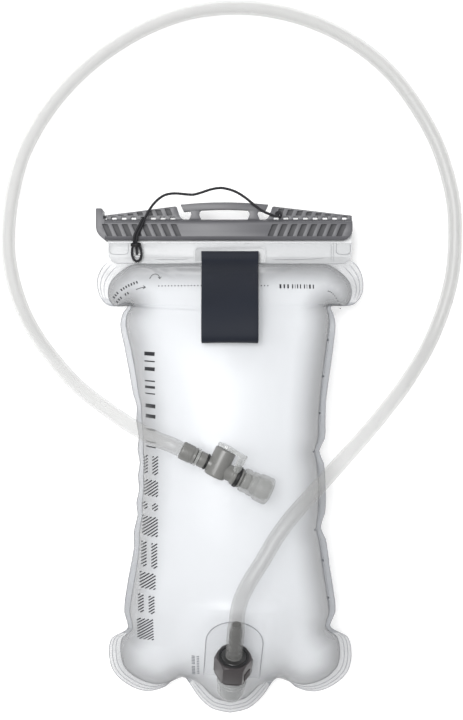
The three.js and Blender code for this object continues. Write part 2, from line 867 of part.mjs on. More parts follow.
part('tether_knot', knot(), BLACK, 0.8, 0);
part('tether_cord', cordAlong(TETHER_ROUTE, TETHER_R, 34, 8), BLACK, 0.8, 0);
part('tether_collar', wrap(), BLACK, 0.5, 0);

export default object;
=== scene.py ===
import math

import bmesh
import bpy
import numpy as np
from mathutils import Matrix, Vector, noise
from mathutils.bvhtree import BVHTree


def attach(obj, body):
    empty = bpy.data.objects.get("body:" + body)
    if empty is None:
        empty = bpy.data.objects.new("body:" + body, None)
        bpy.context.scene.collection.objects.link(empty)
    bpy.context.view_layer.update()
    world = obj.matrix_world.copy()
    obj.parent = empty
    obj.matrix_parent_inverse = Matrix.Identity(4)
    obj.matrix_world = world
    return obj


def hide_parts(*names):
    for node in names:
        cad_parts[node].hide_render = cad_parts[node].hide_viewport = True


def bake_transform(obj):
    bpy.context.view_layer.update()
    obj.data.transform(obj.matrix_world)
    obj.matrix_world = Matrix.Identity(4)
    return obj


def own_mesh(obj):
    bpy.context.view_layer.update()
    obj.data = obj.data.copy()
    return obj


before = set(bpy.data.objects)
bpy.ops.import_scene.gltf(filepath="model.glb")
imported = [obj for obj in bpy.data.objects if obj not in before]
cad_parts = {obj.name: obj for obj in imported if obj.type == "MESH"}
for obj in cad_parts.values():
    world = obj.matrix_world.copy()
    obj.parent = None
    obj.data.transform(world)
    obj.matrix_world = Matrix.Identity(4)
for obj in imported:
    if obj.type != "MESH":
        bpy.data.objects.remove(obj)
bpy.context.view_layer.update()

MM = 0.001
scene = bpy.context.scene
scene.view_settings.view_transform = "Standard"

# ---- Camera, floor and light ----

CAMERA_HEIGHT = 0.65
VIEW_HEIGHT = 0.4896  # how much of the floor the picture's height covers

camera_data = bpy.data.cameras.new("camera")
camera_data.sensor_width = 36.0
camera_data.lens = 36.0 * CAMERA_HEIGHT / VIEW_HEIGHT
camera = bpy.data.objects.new("camera", camera_data)
camera.location = (0.001, 0.067, CAMERA_HEIGHT)
scene.collection.objects.link(camera)
scene.camera = camera


def area_light(name, location, target, size, power):
    """A square area light aimed at a point."""
    data = bpy.data.lights.new(name, "AREA")
    data.shape = "RECTANGLE"
    data.size, data.size_y = size
    data.energy = power
    lamp = bpy.data.objects.new(name, data)
    lamp.location = location
    lamp.rotation_euler = (Vector(target) - Vector(location)).to_track_quat("-Z", "Y").to_euler()
    scene.collection.objects.link(lamp)


area_light("key", (-0.3, 0.3, 1.5), (0, 0.05, 0), (0.9, 0.9), 24)
area_light("side", (-1.3, 0.1, 0.7), (0, 0, 0.03), (0.4, 1.2), 1.0)


def link(start, output, end, into):
    """Joins two shader nodes."""
    start.id_data.links.new(start.outputs[output], end.inputs[into])


def studio_world(steps):
    """Soft light from all round: each step is (height, brightness), from the horizon to overhead."""
    made = bpy.data.worlds.new("studio")
    made.use_nodes = True
    tree = made.node_tree
    place = tree.nodes.new("ShaderNodeTexCoord")
    parts = tree.nodes.new("ShaderNodeSeparateXYZ")
    ramp = tree.nodes.new("ShaderNodeValToRGB")
    stops = ramp.color_ramp.elements
    while len(stops) < len(steps):
        stops.new(0.5)
    for stop, (height, bright) in zip(stops, steps):
        stop.position = height
        stop.color = (bright, bright, bright, 1.0)
    link(place, "Generated", parts, "Vector")
    link(parts, "Z", ramp, "Fac")
    link(ramp, "Color", tree.nodes["Background"], "Color")
    scene.world = made


studio_world(((0.0, 0.8), (0.16, 0.7), (0.3, 0.16), (0.6, 0.24), (1.0, 0.42)))


# ---- Materials ----

def add_node(tree, kind, **values):
    """A new shader node with its inputs set."""
    made = tree.nodes.new(kind)
    for key, value in values.items():
        made.inputs[key].default_value = value
    return made


def shade(color, factor):
    """A colour made darker or lighter."""
    return tuple(min(1.0, c * factor) for c in color[:3]) + (1.0,)


def textured(name, color, rough, alpha=1.0, vary=0.08, grain=900.0, bump=0.08, depth=0.0002,
             blotch=45.0, metal=0.0, coat=0.0, sheen=0.0):
    """A material with mottled colour and roughness and a fine-grained surface."""
    made = bpy.data.materials.new(name)
    made.use_nodes = True
    tree = made.node_tree
    shader = tree.nodes["Principled BSDF"]
    place = tree.nodes.new("ShaderNodeTexCoord")
    cloud = add_node(tree, "ShaderNodeTexNoise", Scale=blotch, Detail=4.0)
    link(place, "Object", cloud, "Vector")
    mix = tree.nodes.new("ShaderNodeMix")
    mix.data_type = "RGBA"
    mix.inputs[6].default_value = shade(color, 1 - vary)
    mix.inputs[7].default_value = shade(color, 1 + vary)
    link(cloud, "Fac", mix, 0)
    link(mix, 2, shader, "Base Color")
    spread = add_node(tree, "ShaderNodeMapRange")
    spread.inputs["To Min"].default_value = rough * 0.85
    spread.inputs["To Max"].default_value = min(1.0, rough * 1.15)
    link(cloud, "Fac", spread, "Value")
    link(spread, "Result", shader, "Roughness")
    fine = add_node(tree, "ShaderNodeTexNoise", Scale=grain, Detail=3.0)
    link(place, "Object", fine, "Vector")
    relief = add_node(tree, "ShaderNodeBump", Strength=bump, Distance=depth)
    link(fine, "Fac", relief, "Height")
    link(relief, "Normal", shader, "Normal")
    shader.inputs["Metallic"].default_value = metal
    shader.inputs["Alpha"].default_value = alpha
    shader.inputs["Coat Weight"].default_value = coat
    shader.inputs["Sheen Weight"].default_value = sheen
    shader.inputs["IOR"].default_value = 1.47
    return made


def woven(name, color, pitch, rough):
    """Webbing: fine ribs across and along, over a slightly mottled dye."""
    made = textured(name, color, rough, vary=0.16, grain=2600.0, bump=0.3, depth=0.00008, sheen=0.08)
    tree = made.node_tree
    place, relief = tree.nodes["Texture Coordinate"], tree.nodes["Bump"]
    ribs = []
    for direction in ("X", "Y"):
        wave = add_node(tree, "ShaderNodeTexWave", Scale=pitch, Distortion=0.6)
        wave.bands_direction = direction
        link(place, "Object", wave, "Vector")
        ribs.append(wave)
    both = tree.nodes.new("ShaderNodeMath")
    both.operation = "MULTIPLY"
    link(ribs[0], "Fac", both, 0)
    link(ribs[1], "Fac", both, 1)
    link(both, "Value", relief, "Height")
    tree.nodes["Principled BSDF"].inputs["Specular IOR Level"].default_value = 0.2
    return made


def micro_rippled(made, scale, strength):
    """Adds long soft ripples to a film's normal."""
    tree = made.node_tree
    place, relief = tree.nodes["Texture Coordinate"], tree.nodes["Bump"]
    ripple = add_node(tree, "ShaderNodeTexNoise", Scale=scale, Detail=2.0, Distortion=0.8)
    soft = add_node(tree, "ShaderNodeBump", Strength=strength, Distance=0.001)
    link(place, "Object", ripple, "Vector")
    link(ripple, "Fac", soft, "Height")
    link(soft, "Normal", relief, "Normal")
    return made


def painted_weld_shade(made, least, width):
    """Paints shade into a film's colour: it turns greyer towards its weld, standing in for the shade where
    the film curves down to the weld.
    """
    tree = made.node_tree
    shader = tree.nodes["Principled BSDF"]
    colour = shader.inputs["Base Color"].links[0].from_socket
    away = tree.nodes.new("ShaderNodeAttribute")
    away.attribute_name = "from_weld"
    ramp = add_node(tree, "ShaderNodeMapRange")
    ramp.interpolation_type = "SMOOTHERSTEP"
    ramp.inputs["From Min"].default_value = -0.35 * width
    ramp.inputs["From Max"].default_value = width
    ramp.inputs["To Min"].default_value = least
    ramp.inputs["To Max"].default_value = 1.0
    link(away, "Fac", ramp, "Value")
    scale = tree.nodes.new("ShaderNodeVectorMath")
    scale.operation = "SCALE"
    tree.links.new(colour, scale.inputs[0])
    link(ramp, "Result", scale, "Scale")
    link(scale, "Vector", shader, "Base Color")
    return made


FILM = micro_rippled(textured("reservoir_film", (0.8, 0.82, 0.85), 0.3, alpha=0.5, vary=0.02, bump=0.04,
                              blotch=18.0), 42.0, 0.35)
# painted shade: the film's colour is darkened towards its weld
painted_weld_shade(FILM, 0.16, 22.0)
FLANGE = micro_rippled(textured("weld_film", (0.5, 0.51, 0.53), 0.22, alpha=0.32, vary=0.03, bump=0.05),
                       90.0, 0.3)
# painted shade: the narrow margins at the waist are darker, standing in for the shade of the flange folded
# back there
PAINTED_SHADE_WELD = textured("narrow_weld_film", (0.36, 0.375, 0.4), 0.22, alpha=0.55, vary=0.12, bump=0.05)
PLATE = textured("outlet_plate_film", (0.75, 0.76, 0.78), 0.2, alpha=0.12, vary=0.03, bump=0.05)
WELD = textured("weld_line", (0.34, 0.35, 0.37), 0.3, alpha=0.55, vary=0.1, bump=0.05)
CLEAR = micro_rippled(textured("clear_collar", (0.74, 0.75, 0.76), 0.2, alpha=0.35, vary=0.03, bump=0.03),
                      60.0, 0.2)
RAIL = textured("frosted_rail", (0.72, 0.73, 0.74), 0.35, vary=0.04)
BAR = textured("bar_plastic", (0.12, 0.12, 0.13), 0.42, vary=0.07, grain=1700.0, bump=0.16)
DARK = textured("socket_plastic", (0.055, 0.049, 0.051), 0.36, vary=0.08, grain=1500.0, bump=0.12)
PLUG = textured("plug_plastic", (0.03, 0.03, 0.03), 0.25, vary=0.08, grain=1500.0, bump=0.1)
VALVE = textured("valve_plastic", (0.19, 0.19, 0.183), 0.28, vary=0.1, grain=1900.0, bump=0.14)
BLACK = textured("black_rubber", (0.012, 0.012, 0.013), 0.5, vary=0.2, bump=0.1)
STEEL = textured("spring_steel", (0.55, 0.56, 0.58), 0.28, metal=1.0, vary=0.1)
TUBE = textured("milky_tube", (0.4, 0.4, 0.39), 0.2, alpha=0.26, vary=0.03, blotch=30.0, bump=0.01)
SILICONE = textured("clear_silicone", (0.4, 0.405, 0.395), 0.2, alpha=0.4, vary=0.05, bump=0.05)
LEVER = textured("clear_lever", (0.5, 0.51, 0.5), 0.12, alpha=0.4, vary=0.03, bump=0.03, coat=0.5)
SLEEVE = textured("smoky_sleeve", (0.42, 0.43, 0.43), 0.2, alpha=0.5, vary=0.06, bump=0.04)
TUBE_BORE = textured("tube_bore", (0.5, 0.5, 0.49), 0.25, alpha=0.07, vary=0.05, bump=0.05)
# painted shade: a darker plastic for the floors of the bar's pockets, where shadow falls
BAR_POCKET_PAINTED_SHADE = textured("bar_pocket_painted_shade", (0.045, 0.045, 0.05), 0.55, vary=0.1, grain=1300.0, bump=0.2)
STRAP = woven("slate_webbing", (0.014, 0.017, 0.026), 520.0, 0.62)
CORD = woven("black_braid", (0.022, 0.022, 0.025), 900.0, 0.6)
INK = textured("black_ink", (0.02, 0.021, 0.025), 0.4, vary=0.2, grain=3000.0, bump=0.1)
GREY_INK = textured("grey_ink", (0.16, 0.17, 0.19), 0.45, vary=0.2, grain=3000.0, bump=0.1)
FLOOR = textured("floor", (0.9, 0.9, 0.9), 0.8, vary=0.01, grain=200.0, bump=0.02)
FLOOR.node_tree.nodes["Principled BSDF"].inputs["Emission Color"].default_value = (1, 1, 1, 1)
FLOOR.node_tree.nodes["Principled BSDF"].inputs["Emission Strength"].default_value = 0.28


# ---- Making meshes, with sizes in millimetres ----

def linked(name, made):
    """An object, in metres, made from a bmesh in millimetres or from a finished mesh."""
    data = made
    if isinstance(made, bmesh.types.BMesh):
        data = bpy.data.meshes.new(name)
        bmesh.ops.scale(made, vec=(MM, MM, MM), verts=made.verts)
        made.to_mesh(data)
        made.free()
    data.name = name
    thing = bpy.data.objects.new(name, data)
    scene.collection.objects.link(thing)
    return thing


def put(name, made, body, material, smooth=35.0, replaces=()):
    """Links a shape as a named piece that rides on a body."""
    piece = linked(name, made)
    data = piece.data
    data.materials.clear()
    data.materials.append(material)
    data.polygons.foreach_set("use_smooth", [True] * len(data.polygons))
    data.update()
    if smooth < 180:
        data.set_sharp_from_angle(angle=math.radians(smooth))
    if body:
        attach(piece, body)
    if replaces:
        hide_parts(*replaces)
    return piece


def solid_of(points, faces):
    """A bmesh from millimetre points, with its faces turned outwards."""
    data = bpy.data.meshes.new("scratch")
    data.from_pydata([tuple(p) for p in points], [], faces)
    made = bmesh.new()
    made.from_mesh(data)
    bpy.data.meshes.remove(data)
    bmesh.ops.remove_doubles(made, verts=made.verts, dist=0.002)
    bmesh.ops.recalc_face_normals(made, faces=made.faces)
    return made


def grid_faces(rows, columns, closed_columns=False, closed_rows=False, flip=False):
    """Quads between rows of points that stand one after another in a list."""
    faces = []
    last_row = rows if closed_rows else rows - 1
    last_column = columns if closed_columns else columns - 1
    for r in range(last_row):
        for c in range(last_column):
            a, b = r * columns + c, r * columns + (c + 1) % columns
            d, e = ((r + 1) % rows) * columns + c, ((r + 1) % rows) * columns + (c + 1) % columns
            faces.append((a, d, e, b) if flip else (a, b, e, d))
    return faces


def lathe(profile, place, sides=56):
    """A closed profile of (radius, distance) turned about a frame's own +Z, in millimetres."""
    rows = []
    for radius, z in profile:
        for i in range(sides):
            a = 2 * math.pi * i / sides
            rows.append(place @ Vector((radius * math.cos(a), radius * math.sin(a), z)))
    return solid_of(rows, grid_faces(len(profile), sides, closed_columns=True, closed_rows=True))


def rounded(profile, radius=0.35, steps=3):
    """The closed profile with each corner off the axis rounded."""
    out = []
    n = len(profile)
    for i, point in enumerate(profile):
        here = Vector(point)
        before, after = Vector(profile[i - 1]), Vector(profile[(i + 1) % n])
        if here.x < 1e-6:
            out.append(here)
            continue
        one, two = before - here, after - here
        reach = min(radius, one.length * 0.42, two.length * 0.42)
        if reach < 1e-4:
            out.append(here)
            continue
        start, end = here + one.normalized() * reach, here + two.normalized() * reach
        for k in range(steps + 1):
            t = k / steps
            out.append(start.lerp(here, t).lerp(here.lerp(end, t), t))
    return [tuple(p) for p in out]


def prism(outline, low, high, place=None):
    """A flat outline between two heights, as a bmesh."""
    made = bmesh.new()
    place = place or Matrix.Identity(4)
    corners = [[made.verts.new(place @ Vector((x, y, z))) for x, y in outline] for z in (low, high)]
    n = len(outline)
    made.faces.new(list(reversed(corners[0])))
    made.faces.new(corners[1])
    for i in range(n):
        j = (i + 1) % n
        made.faces.new((corners[0][i], corners[0][j], corners[1][j], corners[1][i]))
    bmesh.ops.recalc_face_normals(made, faces=made.faces)
    return made


def baked(thing):
    """An object's mesh with its modifiers applied."""
    graph = bpy.context.evaluated_depsgraph_get()
    return bpy.data.meshes.new_from_object(thing.evaluated_get(graph))


def drop(thing):
    """Deletes an object and its mesh."""
    data = thing.data
    bpy.data.objects.remove(thing)
    bpy.data.meshes.remove(data)


def carve(base, cutters=(), joins=(), meets=(), bevel=0.0, segments=2, angle=35.0):
    """Joins and cuts solids, all in millimetres, and rounds the edges that are left."""
    thing = linked("scratch", base)
    for operation, others in (("INTERSECT", meets), ("UNION", joins), ("DIFFERENCE", cutters)):
        for other in others:
            tool = linked("scratch", other)
            step = thing.modifiers.new("cut", "BOOLEAN")
            step.operation, step.object, step.solver = operation, tool, "EXACT"
            data = baked(thing)
            thing.modifiers.clear()
            old, thing.data = thing.data, data
            bpy.data.meshes.remove(old)
            drop(tool)
    tidy = bmesh.new()
    tidy.from_mesh(thing.data)
    bmesh.ops.remove_doubles(tidy, verts=tidy.verts, dist=1e-6)
    bmesh.ops.dissolve_limit(tidy, angle_limit=math.radians(1.0), verts=tidy.verts, edges=tidy.edges)
    tidy.to_mesh(thing.data)
    tidy.free()
    if bevel:
        step = thing.modifiers.new("round", "BEVEL")
        step.width, step.segments = bevel * MM, segments
        step.limit_method, step.angle_limit = "ANGLE", math.radians(angle)
        step.use_clamp_overlap = True
        step.harden_normals = False
    data = baked(thing)
    drop(thing)
    return data


def turn(degrees, axis):
    """A turn about one axis, as a matrix."""
    return Matrix.Rotation(math.radians(degrees), 4, axis)


def arc(x, y, r, start, end, steps):
    """Points along an arc, its angles in degrees."""
    return [(x + r * math.cos(math.radians(start + (end - start) * i / steps)),
             y + r * math.sin(math.radians(start + (end - start) * i / steps))) for i in range(steps + 1)]


def smoothstep(a, b, x):
    """0 at a, 1 at b, with a smooth rise between them."""
    t = np.clip((np.asarray(x, float) - a) / (b - a), 0, 1)
    return t * t * (3 - 2 * t)


def spline(points, spacing):
    """A centripetal curve through the points, sampled about every so many millimetres."""
    points = [np.array(p, float) for p in points]
    padded = [2 * points[0] - points[1], *points, 2 * points[-1] - points[-2]]
    out = []
    for i in range(1, len(padded) - 2):
        p = padded[i - 1:i + 3]
        knots = [0.0]
        for a, b in zip(p, p[1:]):
            knots.append(knots[-1] + max(np.linalg.norm(b[:3] - a[:3]), 1e-6) ** 0.5)
        count = max(1, round(np.linalg.norm(p[2][:3] - p[1][:3]) / spacing))
        for t in np.linspace(knots[1], knots[2], count, endpoint=False):
            row = list(p)
            for level in range(1, 4):
                for k in range(4 - level):
                    lo, hi = knots[k], knots[k + level]
                    row[k] = row[k] * (hi - t) / (hi - lo) + row[k + 1] * (t - lo) / (hi - lo)
            out.append(row[0])
    out.append(points[-1])
    return np.array(out)


def sweep_rings(path, radii, sides):
    """Rings of points along a path, without spin."""
    path = np.array(path)[:, :3]
    ways = np.gradient(path, axis=0)
    ways /= np.linalg.norm(ways, axis=1)[:, None]
    side = np.cross(ways[0], (0, 0, 1.0))
    if np.linalg.norm(side) < 0.2:
        side = np.cross(ways[0], (1.0, 0, 0))
    rings = []
    a = np.linspace(0, 2 * math.pi, sides, endpoint=False)
    for radius, point, way in zip(radii, path, ways):
        side = side - way * side.dot(way)
        side /= np.linalg.norm(side)
        up = np.cross(way, side)
        rings.append(point + radius * (np.outer(np.cos(a), side) + np.outer(np.sin(a), up)))
    return rings


def rope(path, radius, sides=14):
    """A solid round cord with rounded ends, in millimetres."""
    path = np.array(path)[:, :3]
    count = len(path)
    radii = np.full(count, float(radius))
    for k, share in enumerate((0.35, 0.75, 0.95)):
        radii[k] = min(radii[k], radius * share)
        radii[count - 1 - k] = min(radii[count - 1 - k], radius * share)
    rings = sweep_rings(path, radii, sides)
    points = [tuple(p) for ring in rings for p in ring]
    faces = grid_faces(count, sides, closed_columns=True)
    faces.append(tuple(range(sides)))
    faces.append(tuple(reversed(range((count - 1) * sides, count * sides))))
    return solid_of(points, faces)


PORT = Matrix.Translation((2.4, -115.5, 61.5)) @ turn(-4, "Z") @ turn(-60, "X")
MOUTH = Matrix.Translation((-28.9, 13.6, 80.4)) @ turn(-26.3, "Z") @ turn(5, "Y")
FLOW = MOUTH @ turn(90, "Y")  # its +Z is the flow
CROSS = MOUTH @ Matrix.Translation((24.3, 0, 0)) @ turn(-90, "X")

# turns that stand a plan shape upright: its depth along y, and its depth along x
UPRIGHT = Matrix(((1, 0, 0, 0), (0, 0, 1, 0), (0, 1, 0, 0), (0, 0, 0, 1)))
ALONG_X = Matrix(((0, 0, 1, 0), (1, 0, 0, 0), (0, 1, 0, 0), (0, 0, 0, 1)))

# ---- The drink tube ----

TUBE_R, BORE_R, FLARE_R = 4.75, 3.175, 5.3
TUBE_ROUTE = [
    (4.05, -91.9, 75.15), (4.6, -84.1, 79.65), (6.9, -74.3, 82.9), (12.2, -63.5, 83.6),
    (19.5, -52.3, 82.5), (26.9, -40.3, 80), (36.1, -28.3, 77), (45.9, -18, 73.5), (66.3, 2.3, 63.5),
    (89.5, 23.9, 43.5), (101.6, 35.9, 31.5), (113, 47.9, 20.5), (123.5, 61.3, 12), (132.5, 75.1, 7),
    (142.7, 98, 5), (149.5, 122.3, 5), (151.8, 148, 5), (150.8, 172.3, 5), (145.1, 197.2, 5),
    (136.1, 220.2, 5), (108.4, 260.9, 5), (69.5, 289.3, 5), (21.6, 303.8, 5), (-29, 301.1, 5),
    (-75.6, 280.2, 5), (-113.7, 247.2, 5), (-140.5, 203.3, 5), (-149.8, 152.7, 5), (-147.8, 127.1, 5),
    (-140.4, 102.7, 6.4), (-129.5, 83.4, 11.5), (-115, 66.3, 22), (-97.6, 50, 36), (-81.1, 39.1, 50),
    (-67, 30.7, 62), (-53.1, 23.5, 72), (-41.7, 18.8, 78.6), (-35.2, 16.7, 80.6), (-29.2, 13.75, 80.43),
]


def tube_mesh(path):
    """The tube's outer and inner walls, flared where it is pushed over the plug."""
    along = np.concatenate([[0], np.cumsum(np.linalg.norm(np.diff(path, axis=0), axis=1))])
    bulges = 0.22 * np.cos(2 * math.pi * (along - 3.2) / 4.4) * (along < 23)
    loose = smoothstep(21, 29, along)
    outer = (FLARE_R + bulges) * (1 - loose) + TUBE_R * loose
    inner = (4.02 + bulges * 0.6) * (1 - loose) + BORE_R * loose
    sides = 40
    rings = sweep_rings(path, outer, sides) + sweep_rings(path, inner, sides)[::-1]
    points = [tuple(p) for ring in rings for p in ring]
    return solid_of(points, grid_faces(len(rings), sides, closed_columns=True, closed_rows=True))


on_plug = [tuple(PORT @ Vector((0, 0, z))) for z in (1.2, 6, 12, 18, 23)]
tube_path = spline(on_plug + TUBE_ROUTE, 1.6)
drink_tube = put("drink_tube_wall", tube_mesh(tube_path), "tube", TUBE, smooth=60,
                 replaces=["drink_tube"])
drink_tube.data.materials.append(TUBE_BORE)
for face in drink_tube.data.polygons:
    if min(face.vertices) >= len(drink_tube.data.vertices) // 2:
        face.material_index = 1

# ---- The outlet port ----

# x out of the socket's flat that carries the release button, z along the outlet
BUTTON = PORT @ turn(-30, "Z")


def recolour(name, material):
    """Gives a node of the frame a new material."""
    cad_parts[name].data.materials.clear()
    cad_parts[name].data.materials.append(material)


def block(x0, x1, y0, y1, low, high, place=None):
    """A box between two heights."""
    return prism([(x0, y0), (x1, y0), (x1, y1), (x0, y1)], low, high, place)


def rod(radius, low, high, place, sides=56):
    """A plain cylinder about a frame's own +Z."""
    return lathe([(0, low), (radius, low), (radius, high), (0, high)], place, sides)


def hexagon(radius, low, high, place):
    """A six-sided prism."""
    return prism(arc(0, 0, radius, 0, 300, 5), low, high, place)


def socket_mesh():
    """A hexagonal nut with turned chamfers, its skirt, and the bore that takes the plug."""
    turned = lathe([(0, -14), (10.9, -14), (12.0, -12.6), (12.0, -1.9), (10.6, 0), (0, 0)], PORT)
    skirt = lathe([(0, -20), (6.6, -20), (7.0, -19.6), (7.0, -13), (0, -13)], PORT)
    bore = lathe([(0, -21), (2.2, -21), (2.2, -18.8), (5.4, -18.8), (5.4, -8.4), (4.9, -7.8), (4.9, -7.1),
                  (6.2, -6.9), (6.2, -3), (8.9, -3), (8.9, 1), (0, 1)], PORT)
    pocket = block(7.1, 13.0, -3.1, 3.1, -12.7, -6.7, BUTTON)
    groove = lathe([(10.05, -13.2), (12.5, -13.2), (12.5, -12.8), (10.05, -12.8)], PORT)
    nut = hexagon(12.0, -14, 0, PORT)
    return carve(nut, joins=[skirt], meets=[turned], cutters=[bore, pocket, groove], bevel=0.28)


def plug_mesh():
    """The hollow plug: its nose with an O-ring groove, its flange and five barbs."""
    profile = [(2.3, -11.5), (3.9, -11.5), (4.5, -10.6), (4.5, -6.15), (4.2, -6.15), (4.2, -4.25),
               (4.5, -4.25), (4.5, -2.7), (7.85, -2.7), (7.85, 0.5), (7.3, 0.9), (3.2, 0.9)]
    for i in range(5):
        z = 3 + i * 4.4
        profile += [(2.95, z), (3.95, z + 0.15), (3.9, z + 0.8), (2.95, z + 3.2)]
    profile += [(3.1, 26.2), (2.8, 27), (2.3, 27)]
    return lathe(rounded(profile, 0.22, 2), PORT)


def sleeve_mesh():
    """The clear cup round the socket, with three rings and a window for the flow."""
    inner, r, low, top = 7.3, 8.7, -36, -14.3
    profile = [(inner, low + 8), (inner - 0.6, low + 5), (inner - 2.6, low + 3), (0, low + 1.6), (0, low),
               (r - 4.2, low + 0.6), (r - 1.4, low + 3), (r, low + 7)]
    for z in (top - 7.6, top - 5.4, top - 3.2):
        profile += [(r, z), (r + 0.55, z + 0.3), (r + 0.55, z + 0.9), (r, z + 1.2)]
    profile += [(r, top), (inner, top)]
    shell = lathe(rounded(profile, 0.5, 3), PORT)
    window = block(-4, 4, 2, r + 1, low + 5, low + 12, PORT)
    return carve(shell, cutters=[window])


def ring_mesh(place, inner, outer, low, high, corner=0.6, steps=4, sides=56):
    """A ring of rounded section, or a disc where inner is 0."""
    section = [(inner, low), (outer, low), (outer, high), (inner, high)]
    return lathe(rounded(section, corner, steps), place, sides)


put("outlet_socket", socket_mesh(), "bladder", DARK, replaces=["port_socket"])
put("outlet_sleeve", sleeve_mesh(), "bladder", SLEEVE, replaces=["port_sleeve"])
lip = [(7.98, -2.8), (8.84, -2.8), (8.84, 0.06), (9.5, 0.06), (9.5, 0.6), (7.98, 0.75)]
put("outlet_black_ring", lathe(rounded(lip, 0.2), PORT), "bladder", BLACK,
    replaces=["socket_seal"])
plug = put("quick_plug", plug_mesh(), "tube", PLUG, replaces=["tube_plug"])
plug_ring = put("plug_o_ring", ring_mesh(PORT, 4.35, 5.9, -5.95, -4.45), "tube", BLACK,
                replaces=["plug_seal"])
button = block(8.7, 10.9, -2.8, 2.8, -12.4, -7, BUTTON)
ridges = [block(10.6, 11.15, -2.3, 2.3, z, z + 0.5, BUTTON) for z in (-11.2, -9.9, -8.6)]
put("release_button", carve(button, joins=ridges, bevel=0.3), "latch", DARK,
    replaces=["latch_button"])

SPRING_FOOT, SPRING_MIDDLE = 6.4, -9.7


def leaf_mesh():
    """A bowed leaf spring that stands on the socket and bears on the button's back."""
    rise, thick = 1.9, 0.3
    bow = [(SPRING_FOOT + rise * (1 - u * u), SPRING_MIDDLE + 2.3 * u) for u in np.linspace(-1, 1, 13)]
    outline = [*bow, *[(x + thick, z) for x, z in reversed(bow)]]
    return prism(outline, -2.4, 2.4, BUTTON @ UPRIGHT)


leaf = put("latch_leaf", leaf_mesh(), "bladder", STEEL, smooth=60,
           replaces=["latch_spring"])
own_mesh(leaf)

# ---- The mouthpiece ----


def ferrule_mesh():
    """The clamp over the end of the tube."""
    profile = [(2.6, 0), (5.2, 0), (5.45, 0.6), (5.45, 6.6), (5.05, 7.4), (5.05, 8.2), (5.3, 8.6),
               (5.3, 9.3), (2.6, 9.3)]
    return lathe(rounded(profile, 0.3), FLOW)


def barrel_mesh():
    """The hollow half of the swivel that stays on the tube."""
    profile = [(2.3, 9.6), (4.3, 9.6), (4.3, 11.75), (4.75, 11.9), (4.75, 15.9), (3.7, 15.9), (3.7, 12.4),
               (2.3, 12.4)]
    return lathe(rounded(profile, 0.25), FLOW)


def valve_mesh():
    """The valve's cross barrel with its inlet and outlet, bored through."""
    side = [(0, -6), (5.9, -6), (6.5, -5.2), (6.5, 10.9), (6.0, 11.6), (0, 11.6)]
    barrel = lathe(rounded(side, 0.5), CROSS)
    inlet = lathe([(0, 12.8), (3.3, 12.8), (3.3, 17.5), (4.4, 17.5), (4.4, 24.0), (0, 24.0)], FLOW)
    neck = [(0, 24.6), (5, 24.6), (5, 33.4), (5.9, 34.6), (5.9, 36.1), (5.2, 36.1), (5.2, 38.7),
            (5.9, 38.7), (5.9, 39.9), (4.5, 40.3), (4.5, 46), (0, 46)]
    outlet = lathe(rounded(neck, 0.25), FLOW)
    bore = rod(4.95, -7, 12.5, CROSS)
    flows = [rod(2.3, start, end, FLOW) for start, end in ((10, 21), (27.5, 50))]
    return carve(barrel, joins=[inlet, outlet], cutters=[bore, *flows], bevel=0.22)


def lever_mesh():
    """The clear lever: hub, arm and upright paddle."""
    place = CROSS @ turn(-42, "Z")
    hub = ring_mesh(place, 0, 6.2, 11.9, 14.2, 0.6, 3)
    arm = [(0, -3.1), (13.2, -3.1), (14, -2.4), (14, 2.4), (13.2, 3.1), (0, 3.1)]
    stadium = [*arc(0, 0, 3.05, 180, 360, 12), (3.05, 11.6), (-3.05, 11.6)]
    side = place @ Matrix.Translation((12.55, 0, 5.55)) @ ALONG_X
    paddle = prism([(x, min(y, 8.6)) for x, y in stadium], 0, 1.45, side)
    return carve(hub, joins=[prism(arm, 11.95, 14.15, place), paddle], bevel=0.45, segments=3)


def bite_mesh():
    """The hollow silicone mouthpiece with its slit."""
    profile = [(4.9, 40.6), (6.6, 40.6), (7.3, 41.2), (7.4, 44.2), (6.9, 44.8), (6.9, 45.6), (7.5, 46.1),
               (7.6, 48.7), (7.2, 49.2), (7.3, 50.0), (8.3, 50.8), (8.6, 53.5), (8.6, 58.2), (7.7, 59.4),
               (0, 59.4), (0, 57.6), (6.4, 57.6), (6.0, 49), (4.9, 47)]
    shell = lathe(rounded(profile, 0.45, 4), FLOW)
    slit = block(-0.3, 0.3, -4.6, 4.6, 56, 61, FLOW)
    return carve(shell, cutters=[slit])


ferrule = put("tube_clamp", ferrule_mesh(), "tube", VALVE, replaces=["tube_ferrule"])
barrel = put("swivel_barrel", barrel_mesh(), "tube", VALVE, replaces=["inlet_barrel"])
shine = put("swivel_clear_ring", ring_mesh(FLOW, 4.5, 5.5, 9.7, 11.4, 0.5), "tube", LEVER,
            replaces=["inlet_ring"])
inlet_o = put("swivel_o_ring", ring_mesh(FLOW, 3.5, 5.0, 16.15, 17.25), "tube", BLACK,
              replaces=["inlet_seal"])
body = put("valve_housing", valve_mesh(), "valve", VALVE, replaces=["valve_body"])
cap = put("valve_end_cap", ring_mesh(CROSS, 0, 4.35, -5.9, -4.1, 0.5, 3), "valve", DARK,
          replaces=["valve_cap"])
outlet_o = put("valve_o_ring", ring_mesh(FLOW, 5.25, 6.55, 36.3, 38.5), "valve", BLACK,
               replaces=["outlet_seal"])
handle = put("shutoff_lever", lever_mesh(), "lever", LEVER, replaces=["valve_lever"])
bite = put("bite_nozzle", bite_mesh(), "bite_valve", SILICONE, replaces=["bite_valve"])

for name, material in (("poppet_spring", STEEL), ("shutoff_poppet", BAR), ("valve_rotor", VALVE)):
    recolour(name, material)

# ---- The film reservoir ----

SPINE_TOP, SPINE_BOTTOM = 100, -115
